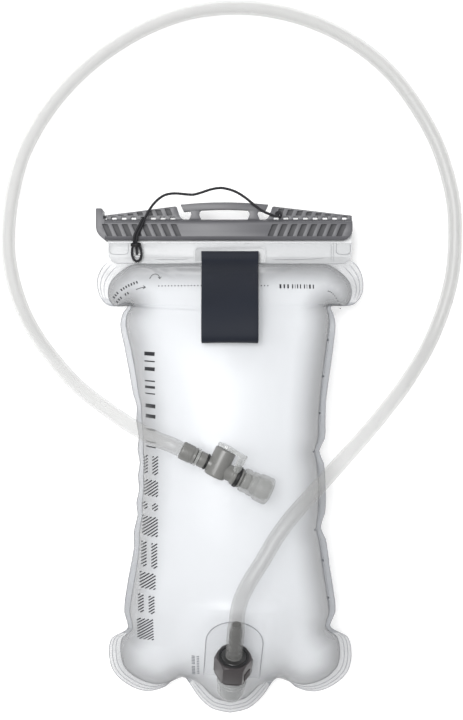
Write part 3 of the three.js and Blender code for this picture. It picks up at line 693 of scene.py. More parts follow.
# each point: x, y, the weld's height, the width of its margin
RIGHT = [
    (0, 134, 24, 4), (28, 134, 24, 5), (56, 134, 24, 8), (76, 134, 24, 12), (83.6, 128, 24, 12),
    (87, 119.5, 25, 9), (86.3, 110.5, 25.5, 7), (81, 103.6, 26, 4.5), (74, 102.4, 27, 3),
    (67.6, 103.6, 27.5, 2.5), (65.4, 101, 27.7, 2.5), (67, 97, 28.5, 3), (68.3, 91, 29.5, 4),
    (67.2, 78, 30, 4.5), (64.5, 58, 30, 4.5), (62.2, 40, 30, 4), (61.8, 27, 30, 4.5),
    (61.4, 16, 30, 4.5), (57.8, 8.2, 30, 3), (60.8, 0, 30, 4.5), (61.8, -14, 30, 4.5),
    (61.6, -32, 30, 4.5), (58.8, -41.5, 30, 3), (62, -49, 30, 4.5), (64.4, -66, 30, 4.5),
    (67.3, -84, 29.5, 4.5), (68.4, -97, 28, 4), (65.2, -106.2, 26, 3), (69.5, -110.5, 23, 4.5),
    (77.5, -115.5, 19, 7), (80.6, -127, 15, 8), (78.8, -140, 12, 8), (70, -149.8, 10, 8.5),
    (57, -154.6, 10, 8.5), (44, -151.5, 10, 7), (37.6, -145.2, 10.5, 3.5), (33, -143.2, 11, 2.5),
    (29.4, -146.6, 10, 4), (22, -158, 8.5, 7.5), (12, -166.8, 8, 7.5), (0, -169.6, 8, 7.5),
]
LEFT = [
    (0, 134, 24, 4), (-28, 134, 24, 5), (-56, 134, 24, 8), (-76, 134, 24, 12), (-83.6, 128, 24, 12),
    (-86.8, 119.5, 25, 9), (-85.4, 109.6, 25.5, 6), (-80, 103, 26, 4), (-73.4, 102.3, 27, 3),
    (-68.2, 104.6, 27.5, 2.5), (-66.4, 102, 28, 2.5), (-69.4, 97.6, 28.5, 3), (-71, 90, 29.5, 3.5),
    (-68.4, 76, 30, 4), (-65, 58, 30, 4), (-62.4, 44, 30, 3.5), (-60.4, 37.6, 30, 3),
    (-60.6, 28, 30, 3.5), (-59, 17.5, 30, 3), (-59.8, 9, 30, 3.5), (-58.4, 0.5, 30, 3),
    (-59.6, -8, 30, 3.5), (-58.8, -17, 30, 3), (-60.6, -25.5, 30, 3.5), (-59.8, -33.5, 30, 3),
    (-62.2, -44, 30, 3.5), (-62, -53, 30, 3.2), (-64.6, -68, 30, 4), (-67.4, -84, 29.5, 4),
    (-68.6, -97, 28, 3.5), (-66.4, -107.4, 26, 3), (-70.5, -111.5, 23, 4.5), (-78, -116.5, 19, 7),
    (-80.4, -127, 15, 8), (-78, -140, 12, 8), (-69, -149.6, 10, 8.5), (-56, -154.4, 10, 8.5),
    (-43, -151, 10, 7), (-36.8, -145.2, 10.5, 3.5), (-32.4, -143.2, 11, 2.5), (-28.8, -146.6, 10, 4),
    (-21.6, -158, 8.5, 7.5), (-12, -166.8, 8, 7.5), (0, -169.6, 8, 7.5),
]
# the filled reservoir's middle line: y, height
CROWN = ((-164, 10), (-158, 17), (-150, 25), (-140, 32), (-128, 38), (-115, 43.5), (-105, 49),
         (-95, 54.3), (-85, 59), (-75, 62.5), (-60, 64.6), (-40, 65.6), (0, 64.6), (40, 61.6),
         (60, 59.2), (75, 56.2), (88, 52), (100, 46.6), (110, 41.4), (118, 36.4), (125, 31.2),
         (130, 26.9), (134, 24.35))
crown_line = spline([(y, z, 0.0) for y, z in CROWN], 1.0)
MOUTH_Y = 134  # the weld at the mouth
WALL = 0.35  # the film's faces stand this far off the weld's middle
MARGIN_RINGS = 9
WIDE_MARGIN = 5.2  # a margin wider than this carries weld lines
# how far each ring lies from the weld (0) to the crown (1): close together where the film turns up
SWELL_STEPS = [0.004, 0.012, 0.024, 0.04, 0.06, 0.085, 0.115, 0.15, 0.19, 0.235, 0.285,
               *np.linspace(0.34, 1.0, 12)]
EVEN_FROM = 0.085  # nearer the weld than this, the film rises in a straight line
FRONT_SEED, REAR_SEED = 3.1, 11.7
LEAST_LIFT = 9.0  # how far the front always rises over its weld
REAR_TURN = 0.45  # share of the fullness at which the rear film has come down flat
REST = 0.05  # the rear film's height over the floor
# the outlet's arched plate, in the port's frame: x across, z along, y into the reservoir
ARCH_R, ARCH_FOOT, ARCH_SPRING = 17.9, -30, 0.3
PLATE_OUT = 10.75
PORT_FACE_TOP = 64.0  # the face under the outlet's plate stops at this height


def seam_loop():
    """The reservoir's outline as one closed run of samples."""
    right = spline(RIGHT, 2.0)
    left = spline(LEFT, 2.0)
    return np.concatenate([right, left[::-1][1:-1]])


seam = seam_loop()
count = len(seam)
run = np.concatenate([[0], np.cumsum(np.linalg.norm(np.diff(seam[:, :2], axis=0), axis=1))])
spine_y = np.clip(seam[:, 1], SPINE_BOTTOM, SPINE_TOP)
reach = np.hypot(seam[:, 0], seam[:, 1] - spine_y)
margin = np.minimum(seam[:, 3], reach - 1)


def crown_at(y):
    """Height of the filled reservoir's middle line."""
    return np.interp(y, crown_line[:, 0], crown_line[:, 1])


def towards_spine(share):
    """The outline's plan points, moved by a share of their way to the spine."""
    return seam[:, 0] * (1 - share), seam[:, 1] + (spine_y - seam[:, 1]) * share


def pucker(s, seed):
    """How far the film rises or dips next to the weld, in millimetres."""
    fine = noise.noise(Vector((s / 9.5, seed, 0)))
    broad = noise.noise(Vector((s / 22.0, seed + 7.3, 2.0)))
    return 2.6 * broad + 1.5 * fine


def port_plane(x, y):
    """Height of the face that the outlet's arched plate is welded to."""
    inward = PORT.to_3x3() @ Vector((0, 1, 0))
    foot = PORT @ Vector((0, PLATE_OUT + 1, 0))
    return foot.z - (inward.x * (x - foot.x) + inward.y * (y - foot.y)) / inward.z


def port_share(x, y, z):
    """1 under the arched plate, fading to 0 about 20 mm outside it."""
    local = PORT.inverted() @ Vector((x, y, z))
    spring = 0.5
    beside = abs(local.x) if local.z < spring else math.hypot(local.x, local.z - spring)
    outside = max(beside - ARCH_R, ARCH_FOOT - 3 - local.z, 0)
    return 1 - float(smoothstep(0.4, 22, outside))


def inside_outline(x, y, outline):
    """Whether each point lies inside a closed outline."""
    hit = np.zeros(x.shape, bool)
    before = outline[-1]
    for here in outline:
        if here[1] != before[1]:
            crosses = (here[1] > y) != (before[1] > y)
            at = here[0] + (y - here[1]) * (before[0] - here[0]) / (before[1] - here[1])
            hit ^= crosses & (x < at)
        before = here
    return hit


def pillow_field(cell=2.0, rounds=5200):
    """How full the reservoir is over a plan grid: a membrane's sag under even load, held round its weld."""
    weld = np.stack(towards_spine(margin / reach), axis=1)
    xs, ys = np.arange(-92, 92.1, cell), np.arange(-174, 138.1, cell)
    inner = inside_outline(*np.meshgrid(xs, ys), weld)
    field = np.where(inner, 400.0, 0.0)
    for _ in range(rounds):
        near = np.zeros_like(field)
        beside = field[2:, 1:-1] + field[:-2, 1:-1] + field[1:-1, 2:] + field[1:-1, :-2]
        near[1:-1, 1:-1] = beside / 4
        field = np.where(inner, near + cell * cell / 4, 0.0)
    return xs, ys, field


grid_x, grid_y, fullness = pillow_field()


def sample(x, y):
    """The pillow field between its grid's points."""
    step = grid_x[1] - grid_x[0]
    u = np.clip((x - grid_x[0]) / step, 0, len(grid_x) - 1.001)
    v = np.clip((y - grid_y[0]) / step, 0, len(grid_y) - 1.001)
    i, j = u.astype(int), v.astype(int)
    a, b = u - i, v - j
    low = fullness[j, i] * (1 - a) + fullness[j, i + 1] * a
    high = fullness[j + 1, i] * (1 - a) + fullness[j + 1, i + 1] * a
    return low * (1 - b) + high * b


def margin_ring(t, up):
    """One ring of the flat margin, t from its outer edge (0) to the weld (1), with its ridges and waves."""
    x, y = towards_spine(margin * t / reach)
    ridge = 0.22 * (0.5 - 0.5 * math.cos(2 * math.pi * 3 * t)) * (seam[:, 3] > 5)
    wave = 0.7 * np.sin(run / 5.3 + 2.2 * np.sin(run / 17.0)) * (1 - t) * smoothstep(3, 8, seam[:, 3])
    away_from_mouth = smoothstep(-10, 40, 60 - np.abs(seam[:, 1] - MOUTH_Y))
    return x, y, seam[:, 2] + up * (WALL + ridge) + wave * away_from_mouth


def swell_share(step, up):
    """How much of its full height the film has reached, at a share of the way from the weld."""
    inset = margin / reach
    kx, ky = towards_spine(inset + (1 - inset) * max(step, EVEN_FROM))
    middle = np.maximum(sample(np.zeros(count), np.clip(ky, -163, 132.5)), 4.0)
    share = np.clip(sample(kx, ky) / middle, 0.0, 1.35)
    if step < EVEN_FROM:
        share = share * (step / EVEN_FROM)
    if up < 0:
        share = np.clip(share / REAR_TURN, 0, 1)
    return np.sqrt(share)


def swell_ring(step, up, ripple):
    """One ring of the filled film, step from the weld (0) to the crown (1)."""
    inset = margin / reach
    x, y = towards_spine(inset + (1 - inset) * step)
    start = seam[:, 2] + up * WALL
    lift = np.maximum(crown_at(y) - start, LEAST_LIFT) if up > 0 else -start
    inside = step * reach
    fade = np.exp(-inside / 13.0) * np.clip(inside / 2.5, 0, 1)
    return x, y, start + lift * swell_share(step, up) + up * ripple * fade


def film_rings(up):
    """Rings of points from the weld margin's outer edge to the crown."""
    ripple = np.array([pucker(s, FRONT_SEED if up > 0 else REAR_SEED) for s in run])
    rings = [margin_ring(k / (MARGIN_RINGS - 1), up) for k in range(MARGIN_RINGS)]
    rings += [swell_ring(step, up, ripple) for step in SWELL_STEPS]
    return [np.stack(r, axis=1) for r in rings]


def relax(points, columns, keep, rounds):
    """Smooths a closed grid of rings, keeping the first rings still."""
    grid = points.reshape(-1, columns, 3)
    for _ in range(rounds):
        inner = grid[keep:-1]
        along = np.roll(inner, 1, axis=1) + np.roll(inner, -1, axis=1)
        near = (along + grid[keep - 1:-2] + grid[keep + 1:]) / 4
        grid[keep:-1] = inner * 0.5 + near * 0.5
    return grid.reshape(-1, 3)


def film_points(up):
    """A film panel's grid of points, its two halves meeting on the spine."""
    points = np.concatenate(film_rings(up))
    spine = points[-count:]
    left = spine[seam[:, 0] < 0]
    for k in np.nonzero(seam[:, 0] > 0)[0]:
        spine[k] = left[np.argmin(np.abs(left[:, 1] - spine[k, 1]))]
    points = relax(points, count, MARGIN_RINGS + 3, 6)
    if up < 0:
        points[:, 2] = np.maximum(points[:, 2], REST)
        return points
    for p in points:
        share = port_share(*p)
        p[2] = p[2] * (1 - share) + min(port_plane(p[0], p[1]), PORT_FACE_TOP) * share
    return points


def film_panel(name, up, replaced):
    """The front film (up 1) or the rear film (up -1) as a piece."""
    points = film_points(up)
    faces = grid_faces(len(points) // count, count, closed_columns=True, flip=up > 0)
    made = solid_of(points, faces)
    made.normal_update()
    for face in made.faces:
        if face.normal.z * up < 0:
            face.normal_flip()
    return put(name, made, "bladder", FILM, smooth=180, replaces=replaced)


front_film = film_panel("front_film", 1, ["front_panel"])
rear_film = film_panel("rear_film", -1, ["rear_panel"])
margin_rings = film_rings(1)[:MARGIN_RINGS]


def finish_film(film):
    """Measures each point's distance from the weld, which drives the film's painted shade, and gives the
    margin its own materials, the darker one on narrow margins as painted shade.
    """
    weld_x, weld_y, _ = margin_rings[-1].T
    film.data.materials.append(FLANGE)
    film.data.materials.append(PAINTED_SHADE_WELD)
    layer = film.data.attributes.new("from_weld", "FLOAT", "POINT")
    for vertex, value in zip(film.data.vertices, layer.data):
        x, y, _ = vertex.co / MM
        value.value = float(np.hypot(weld_x - x, weld_y - y).min())
    for face in film.data.polygons:
        # narrow margins take the darker weld colour: painted shade
        if max(face.vertices) < MARGIN_RINGS * count:
            face.material_index = 1 if seam[min(face.vertices) % count, 3] > WIDE_MARGIN else 2


for film in (front_film, rear_film):
    finish_film(film)


def weld_bead(t, radius, keep):
    """A raised line along the weld margin, t from its outer edge (0) to the film (1)."""
    place = t * (MARGIN_RINGS - 1)
    low = int(min(place, MARGIN_RINGS - 2))
    line = margin_rings[low] * (low + 1 - place) + margin_rings[low + 1] * (place - low)
    line = line + np.array((0, 0, 0.12))
    wanted = keep(seam)
    runs, current = [], []
    start = int(np.argmin(wanted))
    for k in range(start, start + count + 1):
        if wanted[k % count]:
            current.append(line[k % count])
        elif current:
            runs.append(current)
            current = []
    if current:
        runs.append(current)
    return [rope(r, radius, 6) for r in runs if len(r) > 6]


def merged(parts):
    """Several bmeshes as one."""
    whole = bmesh.new()
    for one in parts:
        data = bpy.data.meshes.new("scratch")
        one.to_mesh(data)
        one.free()
        whole.from_mesh(data)
        bpy.data.meshes.remove(data)
    return whole


beads = []
for t in (0.3, 0.6):
    beads += weld_bead(t, 0.2, lambda p: (p[:, 3] > WIDE_MARGIN) & (p[:, 1] < 132))
for t in (0.03, 1.0):
    beads += weld_bead(t, 0.25, lambda p: p[:, 1] < 131)
put("weld_beads", merged(beads), "bladder", WELD, smooth=60)

leg = np.linspace(ARCH_FOOT, ARCH_SPRING, 12)[:-1]
crown = arc(0, ARCH_SPRING, ARCH_R, 180, 0, 24)
arch = [*[(-ARCH_R, z) for z in leg], *crown, *[(ARCH_R, z) for z in leg[::-1]]]
arch_line = rope([tuple(PORT @ Vector((x, PLATE_OUT - 0.15, z))) for x, z in arch], 0.28, 8)
put("outlet_weld_line", arch_line, "bladder", WELD, smooth=60)
plate = prism(arch, 0, 0.55, PORT @ Matrix.Translation((0, PLATE_OUT, 0)) @ UPRIGHT)
put("outlet_plate", carve(plate, bevel=0.15), "bladder", PLATE, replaces=["port_flange"])

# ---- The mouth: rails, collar, eyelet and strap ----

recolour("front_rail", RAIL)
recolour("rear_rail", RAIL)

MOUTH_Z = 24.0
EYELET = Matrix.Translation((-60.5, 133.5, 0))


def collar_mesh(low, high):
    """One moulded collar: a flat plate with rounded lower corners and the tether's hole."""
    outline = [*arc(73.5, 136.2, 6, -90, 0, 8), (79.5, 143.5), (-79.5, 143.5),
               *arc(-73.5, 136.2, 6, 180, 270, 8)]
    for i in range(1, 16):
        x = -73.5 + 147 * i / 16
        outline.append((x, 130.2 - 0.7 * math.sin(math.pi * i / 16) + 0.25 * math.sin(x / 6.0)))
    hole = rod(2.1, 0, 60, EYELET, 24)
    return carve(prism(outline, low, high), cutters=[hole], bevel=0.18)


put("collar_front", collar_mesh(25.65, 26.4), "bladder", CLEAR, replaces=["front_collar"])
put("collar_rear", collar_mesh(21.6, 22.35), "bladder", CLEAR, replaces=["rear_collar"])
rim = ring_mesh(EYELET, 2.1, 3.4, 26.75, 27.75, 0.4, sides=32)
put("eyelet_rim", rim, "bladder", LEVER, replaces=["tether_eyelet"])


def rounded_patch(grow, low, high):
    """The strap patch's shape, its edge moved in by grow."""
    half, foot, head, corner = 23.6 - grow, 130.2 + grow, 141.3 - grow, 3.2 - grow * 0.6
    outline = [(-half, foot), (half, foot), *arc(half - corner, head - corner, corner, 0, 90, 8),
               *arc(-half + corner, head - corner, corner, 90, 180, 8)]
    return prism(outline, low, high)


patch = carve(rounded_patch(0, 26.75, 27.6), cutters=[rounded_patch(1.3, 27.15, 29)], bevel=0.2)
put("strap_anchor", patch, "bladder", CLEAR, replaces=["strap_patch"])


def band(path, half, thick, flare=0.0, narrow=0.0):
    """Flat webbing along a side-view path of (y, z), with rounded selvedges."""
    path = np.array(path)
    ways = np.gradient(path, axis=0)
    ways /= np.linalg.norm(ways, axis=1)[:, None]
    edge = thick / 2
    section = [(half, 0), (half - 0.25, -edge * 0.85)]
    section += [(x, -edge) for x in np.linspace(half - 0.8, -half + 0.8, 13)]
    section += [(-half + 0.25, -edge * 0.85), (-half, 0), (-half + 0.25, edge * 0.85)]
    section += [(x, edge) for x in np.linspace(-half + 0.8, half - 0.8, 13)]
    section += [(half - 0.25, edge * 0.85)]
    points = []
    for k, ((y, z), (wy, wz)) in enumerate(zip(path, ways)):
        cup = flare * math.sin(math.pi * k / (len(path) - 1))
        scale = 1 - narrow * math.sin(math.pi * k / (len(path) - 1))
        for x, n in section:
            lift = n + cup * (x / half) ** 2
            points.append((x * scale, y - wz * lift, z + wy * lift))
    sides = len(section)
    faces = grid_faces(len(path), sides, closed_columns=True)
    faces += [tuple(range(sides)), tuple(reversed(range(len(points) - sides, len(points))))]
    return solid_of(points, faces)


STRAP_ROOT = 28.75
strap_line = [(137.4, STRAP_ROOT), (131, STRAP_ROOT), (121, 34.9), (111, 44.2), (99, 50.7), (88, 55.1),
              (82.4, 57.2), (79.2, 58.9), (78.3, 61.1), (79.6, 63.3), (82.2, 64.0), (90, 63.5), (101, 59.9),
              (112, 52.3), (122, 42.4), (131, 32.2), (137.4, 31.2)]
strap_path = spline([(0, y, z) for y, z in strap_line], 1.2)[:, 1:]
webbing = band(strap_path, 18.6, 1.4, flare=0.35, narrow=0.055)
put("carry_strap", webbing, "bladder", STRAP, smooth=60, replaces=["hand_strap"])
stitches = []
for y in (134.6 - 1.7, 134.6 + 1.7):
    for x in [-16.1 + 2.3 * i for i in range(15)]:
        stitches.append(rope([(x - 0.8, y, 32.35), (x, y, 32.6), (x + 0.8, y, 32.35)], 0.22, 6))
put("strap_stitching", merged(stitches), "bladder", CORD, smooth=60)

# ---- The slide bar ----

BAR_LEFT, BAR_RIGHT, VALLEY = -87.0, 79.5, 158.7
RIB_START, RIB_PITCH, RIBS = 33.8, 6.38, 8
HANDLE_X = -3.6


def channel_mesh():
    """The bar's C-shaped channel."""
    half = [(VALLEY, 2.4), (157.7, 4.5), (156.6, 5.8), (154.4, 6.3), (150.6, 6.5), (147.2, 6.3),
            (145.5, 5.7), (144.8, 4.8), (144.8, 1.85), (148.3, 1.85), (148.3, 3.65), (156.5, 3.65)]
    outline = [(y, MOUTH_Z + h) for y, h in half] + [(y, MOUTH_Z - h) for y, h in reversed(half)]
    return prism(outline, BAR_LEFT, BAR_RIGHT, ALONG_X)


def plan_mesh():
    """What the bar's two rounded ends leave of the channel, seen from the front."""
    outline = [*arc(BAR_RIGHT - 7, 151.8, 7, -90, 0, 8), (BAR_RIGHT, 170), (BAR_LEFT, 170),
               *arc(BAR_LEFT + 9, 153.8, 9, 180, 270, 10)]
    return prism(outline, 5, 45)


def wing_mesh(side):
    """The tapered wing above the channel on one side of the handle."""
    tip = BAR_LEFT + 4.4 if side < 0 else BAR_RIGHT
    inner = [(32.3, 167.2), (31.2, 166.9), (29.4, 161.4), (28.4, 159.8), (26.8, VALLEY),
             (26.8, VALLEY - 1.6)]
    outline = [(tip, VALLEY - 1.6), (tip, 161.2), *[(HANDLE_X + side * x, y) for x, y in inner]]
    return prism(outline, MOUTH_Z - 2.4, MOUTH_Z + 2.4)


def hook_mesh():
    """The block that closes the channel's left end."""
    outline = [(0, 165.2), (0.6, 165.4), (3.6, 165.4), (4.2, 164.9), (4.2, 161.4), (5.8, 160.6), (6, 144.8)]
    outline += [(x, y) for x, y in reversed(arc(9, 153.8, 9, 180, 270, 10)) if x <= 6.01]
    return prism([(BAR_LEFT + x, y) for x, y in outline], MOUTH_Z - 6.4, MOUTH_Z + 6.4)


def grip_mesh():
    """The handle's bowed grip."""
    upper = [(HANDLE_X + 28.7 * u, 169.9 - 1.5 * u * u) for u in np.linspace(1, -1, 17)]
    lower = [(HANDLE_X + 26.6 * u, 165.5 - 1.5 * u * u) for u in np.linspace(-1, 1, 15)]
    return prism(upper + lower, MOUTH_Z - 2.4, MOUTH_Z + 2.4)


def post_mesh(side):
    """One waisted post between the channel and the grip."""
    middle = HANDLE_X + side * 19.1
    edge = [(4.4, 157.6), (3.3, 160.2), (2.6, 162.2), (3.0, 164.0), (4.2, 165.6)]
    outline = [(middle + dx, y) for dx, y in edge] + [(middle - dx, y) for dx, y in reversed(edge)]
    return prism(outline, MOUTH_Z - 2.2, MOUTH_Z + 2.2)


def leaning(side, i, low, high, wide, z0, z1, base=157.2, lean=0.42):
    """A slanted cutter beside the handle, leaning away from it."""
    x = HANDLE_X + side * (RIB_START + RIB_PITCH * i)
    near, far = x - side * lean * (base - low), x - side * lean * (base - high)
    half = wide / 2
    return prism([(near - half, low), (near + half, low), (far + half, high), (far - half, high)], z0, z1)


def bar_mesh():
    """The whole bar, with its pockets cut into both faces."""
    cuts = []
    for side in (-1, 1):
        for i in range(RIBS):
            x = HANDLE_X + side * (RIB_START + RIB_PITCH * i)
            crest = 167.2 - (abs(x - HANDLE_X) - 32.3) * 6.0 / (50.8 if side > 0 else 46.7)
            for up in (1, -1):
                face, floor_z = sorted((MOUTH_Z + up * 8, MOUTH_Z + up * 4.75))
                cuts.append(leaning(side, i, 147.3, 155.1, 3.7, face, floor_z))
                face, floor_z = sorted((MOUTH_Z + up * 4, MOUTH_Z + up * 1.1))
                cuts.append(leaning(side, i, 161.2, crest - 1.2, 3.7, face, floor_z))
            start, end = max(x - 1.7, BAR_LEFT + 4.8), x + 1.7
            foot, top = VALLEY - 0.1, 160.5
            cuts.append(block(start, end, foot, top, 10, 40))
    cuts.append(rod(1.5, 10, 40, Matrix.Translation((31.6, 161.6, 0)), 20))
    cuts.append(leaning(1, -0.42, 160.3, 166.6, 0.9, MOUTH_Z + 1.9, MOUTH_Z + 4))
    joins = [wing_mesh(-1), wing_mesh(1), hook_mesh(), post_mesh(-1), post_mesh(1), grip_mesh()]
    return carve(channel_mesh(), meets=[plan_mesh()], joins=joins, cutters=cuts, bevel=0.3)


bar = put("closure_bar", bar_mesh(), "slide_bar", BAR, smooth=40, replaces=["slide_bar"])
# the pockets' floors take the darker pocket colour: painted shade in the recesses
bar.data.materials.append(BAR_POCKET_PAINTED_SHADE)
for face in bar.data.polygons:
    x, y, z = face.center / MM
    deep = abs(z - MOUTH_Z)
    in_channel = 4.6 < deep < 4.9 and 147.0 < y < 155.5
    in_wing = deep < 1.3 and y > 161.0 and abs(x - HANDLE_X) > 31
    if abs(face.normal.z) > 0.9 and (in_channel or in_wing):
        face.material_index = 1

# ---- The tether ----

TETHER_ROUTE = [
    (28.9, 160.8, 28.2), (20.8, 164.1, 28.2), (11.7, 171.3, 28.2), (3.9, 176.4, 28), (-5.8, 179, 27.8),
    (-13.6, 177.7, 27.8), (-23.9, 174.6, 27.8), (-34.9, 175.4, 28), (-42.7, 174.1, 28.6),
    (-49.2, 168.7, 29.6), (-53.7, 161.5, 31.2), (-57, 154, 32.2), (-60, 147.4, 32.2), (-60.7, 142.8, 30.8),
    (-60.6, 138.6, 29.3), (-60.5, 135, 28.8),
]
TETHER_R = 0.85
tether_path = spline(TETHER_ROUTE, 0.9)
tether = put("tether_line", rope(tether_path, TETHER_R), None, CORD, smooth=60,
             replaces=["tether_cord"])
knot_path = spline([(28.9, 160.8, 28.3), (30.6, 161.0, 28.6), (32.6, 162.6, 29.0), (32.9, 160.4, 29.5),
                    (30.6, 160.2, 29.3), (30.2, 162.6, 28.5), (32.4, 163.2, 28.1), (33.2, 161.4, 28.0),
                    (32.2, 159.9, 28.2), (31.3, 160.9, 27.6), (31.6, 161.6, 25.2)], 0.4)
put("tether_end_knot", rope(knot_path, 0.8), "slide_bar", CORD, smooth=60,
    replaces=["tether_knot"])
hitch_path = spline([(-55.9, 159.4, 32.7), (-58.9, 153.2, 33.3), (-61.7, 147.2, 33.0),
                     (-62.3, 143.2, 31.4), (-63.3, 139.6, 29.9), (-63.6, 135.4, 29.2),
                     (-62.3, 132.2, 29.0), (-60.5, 131.2, 29.0), (-58.6, 132.2, 29.0),
                     (-57.6, 135.4, 29.2), (-58.1, 139.4, 29.9), (-59.7, 142.2, 31.9)], 0.6)
hitch = put("tether_hitch", rope(hitch_path, 0.8), "bladder", CORD, smooth=60)
wrap_place = Matrix.Translation((-61.0, 141.6, 30.7)) @ Matrix.Rotation(math.radians(90) + 0.34, 4, "X")
oval = wrap_place @ Matrix.Diagonal((1.25, 1, 1, 1))
coils = [ring_mesh(oval, 1.15, 2.75, z, z + 0.9, 0.4, sides=24) for z in (-1.0, 0.0)]
wrap = put("tether_wrap", merged(coils), "bladder", BLACK, smooth=60,
           replaces=["tether_collar"])

# ---- Moulded lines in the collar ----

lines = []
z = MOUTH_Z + 2.45
sag = [(x, 133.4 - 0.9 * math.cos(math.pi * x / 150) + 0.3 * math.sin(x / 9.0), z)
       for x in range(28, 63, 3)]
lines.append(rope(sag, 0.16, 6))
lines.append(rope([(-x, y, z) for x, y, z in sag if x < 52], 0.16, 6))
for x in (66.0, 67.6):
    lines.append(rope([(x, y, z) for y in np.linspace(130.6, 143.2, 8)], 0.13, 6))
for side, near, far in ((-1, 66.5, 78.3), (1, 69.5, 78.3)):
    corner = [(far, 143.2), (far, 137.4), (far - 1, 136.3), (near + 1, 136.3), (near, 137.4), (near, 143.2)]
    path = spline([(side * x, y, 0.0) for x, y in corner], 0.8)
    lines.append(rope([(x, y, z) for x, y, _ in path], 0.16, 6))
put("collar_lines", merged(lines), "bladder", WELD, smooth=60)

# ---- Printed marks: plain bars, hatching, dots and arrows, laid on the film ----

film_tree = BVHTree.FromPolygons([v.co.copy() for v in front_film.data.vertices],
                                 [tuple(p.vertices) for p in front_film.data.polygons])


def on_film(x, y):
    """Height of the front film's outer face, or 25 mm where there is none."""
    hit = film_tree.ray_cast(Vector((x * MM, y * MM, 0.2)), Vector((0, 0, -1)))
    return hit[0].z / MM if hit[0] else 25.0


def stroke(points, wide, square=1.2):
    """A thin printed line along plan points, thick enough to be a solid."""
    points = spline([(x, y) for x, y in points], square) if len(points) > 1 else np.array(points)
    ways = np.gradient(points, axis=0)
    ways /= np.maximum(np.linalg.norm(ways, axis=1), 1e-6)[:, None]
    rows = []
    for (x, y), (wx, wy) in zip(points, ways):
        left = (x - wy * wide / 2, y + wx * wide / 2)
        right = (x + wy * wide / 2, y - wx * wide / 2)
        zl, zr = on_film(*left), on_film(*right)
        rows += [(*left, zl + 0.22), (*right, zr + 0.22), (*right, zr + 0.06), (*left, zl + 0.06)]
    faces = grid_faces(len(points), 4, closed_columns=True)
    faces += [(0, 1, 2, 3), tuple(reversed(range(len(rows) - 4, len(rows))))]
    return solid_of(rows, faces)


def prints(name, strokes, ink):
    """Printed strokes as one piece on the reservoir."""
    put(name, merged(strokes), "bladder", ink, smooth=180)


# the fill line: dots across the shoulder
dots = [stroke([(x, 114.6), (x + 0.6, 114.6)], 0.8, 0.3) for x in np.arange(-46, -18.6, 2.1)]
dots += [stroke([(x, 114.6), (x + 0.6, 114.6)], 0.8, 0.3) for x in np.arange(19.8, 25.0, 2.1)]
for i in range(9):
    t = i / 8
    x, y = 63.2 + 8.6 * t, 111.6 - 9.5 * t * t - 1.2 * t
    dots.append(stroke([(x, y), (x + 0.6, y - 0.3)], 0.6, 0.4))
prints("fill_line_dots", dots, INK)
# blocks that stand for the words beside it
widths = (1.9, 1.6, 1.7, 0, 1.2, 0.6, 1.1, 1.1, 0, 1.1, 0.6, 1.8, 1.2)
blocks, x = [], 31.4
for wide in widths:
    if wide:
        blocks.append(stroke([(x + wide / 2, 112.9), (x + wide / 2, 115.6)], wide * 0.62, 0.6))
    x += wide + 0.75
prints("fill_line_blocks", blocks, INK)

# two rows of small blocks and an arrow that follow the left shoulder
small = []
for guide, gaps, wide in ((((-76.3, 106.2), (-73, 110.4), (-65.5, 115.2), (-56.5, 118.4)), (4, 12), 1.7),
                          (((-74.6, 103.4), (-72, 106.2), (-67.6, 109.4), (-62.6, 111.6)), (4, 7), 1.5)):
    line = spline([(x, y, 0.0) for x, y in guide], 1.75)
    for i in range(1, len(line) - 1):
        if i not in gaps:
            way = line[i + 1] - line[i - 1]
            way /= np.linalg.norm(way)
            across = np.array((-way[1], way[0])) * wide / 2
            small.append(stroke([tuple(line[i][:2] - across), tuple(line[i][:2] + across)], 0.8, 0.6))
small.append(stroke([(-60.6, 112.4), (-57.6, 113.4), (-54.6, 113.9)], 0.4))
small.append(stroke([(-56.0, 114.8), (-54.3, 113.9), (-56.0, 112.9)], 0.4))
small.append(stroke([(-51.8, 119.4), (-50.6, 121.6), (-48.4, 122.6), (-46.2, 121.8), (-45.2, 119.6)], 0.35))
small.append(stroke([(-46.4, 120.6), (-45.2, 119.3), (-44.3, 120.8)], 0.35))
prints("closing_marks", small, INK)

# the capacity marks up the left side: bold bars of several lengths, with no figures
BARS_TOP = 73.5
bars = ((4.6, 1.7), (1.5, 1.9), (4.4, 4.6), (1.6, 1.6), (3.0, 1.9), (1.4, 4.8), (4.6, 2.0), (4.4, 5.4),
        (1.8, 6.2), (1.3, 1.6), (1.6, 2.6))
bold, y = [], BARS_TOP
for length, gap in bars:
    x = -50.8 + (BARS_TOP - y) * 0.012
    bold.append(stroke([(x - 3.4, y - length / 2), (x + 3.4, y - length / 2 - 0.5)], length * 0.52, 0.8))
    y -= length + gap
prints("capacity_bars", bold, INK)


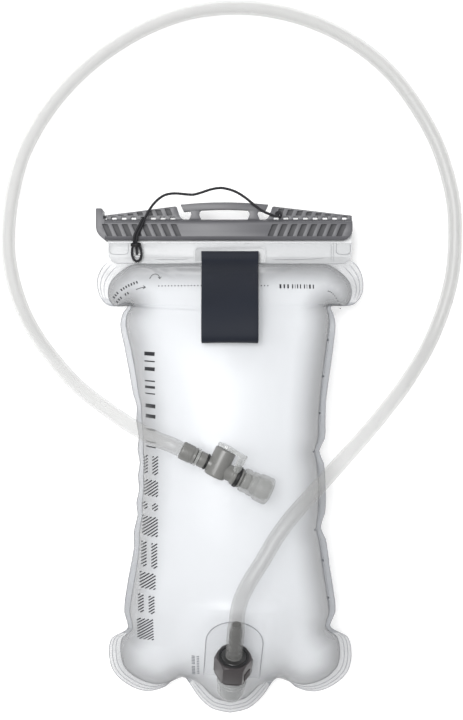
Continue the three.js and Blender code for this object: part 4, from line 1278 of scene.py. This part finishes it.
def hatched(x, y, wide, tall, slope=0.75, pitch=2.0):
    """A block of leaning hatching, x and y its middle."""
    lines = []
    steps = int((tall + wide * slope) / pitch)
    for i in range(steps + 1):
        base = y - tall / 2 - wide * slope + i * pitch
        ends = []
        for t in np.linspace(0, 1, 9):
            px, py = x - wide / 2 + wide * t, base + slope * wide * t
            if y - tall / 2 <= py <= y + tall / 2:
                ends.append((px, py))
        if len(ends) > 1:
            lines.append(stroke([ends[0], ends[-1]], 0.72, 1.5))
    return lines


hatching, y = [], 6.5
for i, tall in enumerate((12.0, 11.0, 5.0, 13.5, 16.0, 11.0, 12.5, 16.5)):
    middle = y - tall / 2
    x = -50.6 - max(0.0, -middle - 50) * 0.065
    if i % 2:
        hatching += hatched(x, middle, 11.0, tall)
    else:
        for half_x in (-3.6, 3.6):
            hatching += hatched(x + half_x, middle, 3.9, tall)
    y -= tall + 3.2
prints("hatched_blocks", hatching, INK)

# a small column of marks beside the outlet
tiny = []
for i in range(13):
    if i != 6:
        tiny.append(stroke([(-24.5, -121.2 - 1.15 * i), (-22.4, -121.2 - 1.15 * i)], 0.55, 0.8))
for i in range(11):
    tiny.append(stroke([(-21.2, -121.2 - 1.3 * i), (-19.6, -121.2 - 1.3 * i)], 0.5, 0.8))
prints("outlet_marks", tiny, GREY_INK)

# graduations on the right-hand weld
ticks = []


def right_edge(y):
    """How far right the outline reaches at a height."""
    edge = sorted([(p[1], p[0]) for p in RIGHT if p[0] > 56 and -108 < p[1] < 100])
    return float(np.interp(y, [up for up, _ in edge], [out for _, out in edge]))


for y in (80.0, 56.5, 32.6, 8.4, -41.3, -62.6, -87.2):
    edge = right_edge(y)
    ticks.append(stroke([(edge - 4.9, y), (edge - 3.2, y)], 1.3, 0.5))
for y in np.arange(-95, 92, 2.4):
    if min(abs(y - 8.2), abs(y + 41.5)) > 3:
        edge = right_edge(y)
        ticks.append(stroke([(edge - 3.4, y), (edge - 3.4, y + 0.9)], 0.35, 0.6))
prints("graduations", ticks, GREY_INK)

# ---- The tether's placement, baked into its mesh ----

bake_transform(tether)

# ---- The floor ----

FAR = 12000
corners = [(-FAR, -FAR, -0.4), (FAR, -FAR, -0.4), (FAR, FAR, -0.4), (-FAR, FAR, -0.4)]
floor = linked("floor", solid_of(corners, [(0, 1, 2, 3)]))
floor.data.materials.append(FLOOR)
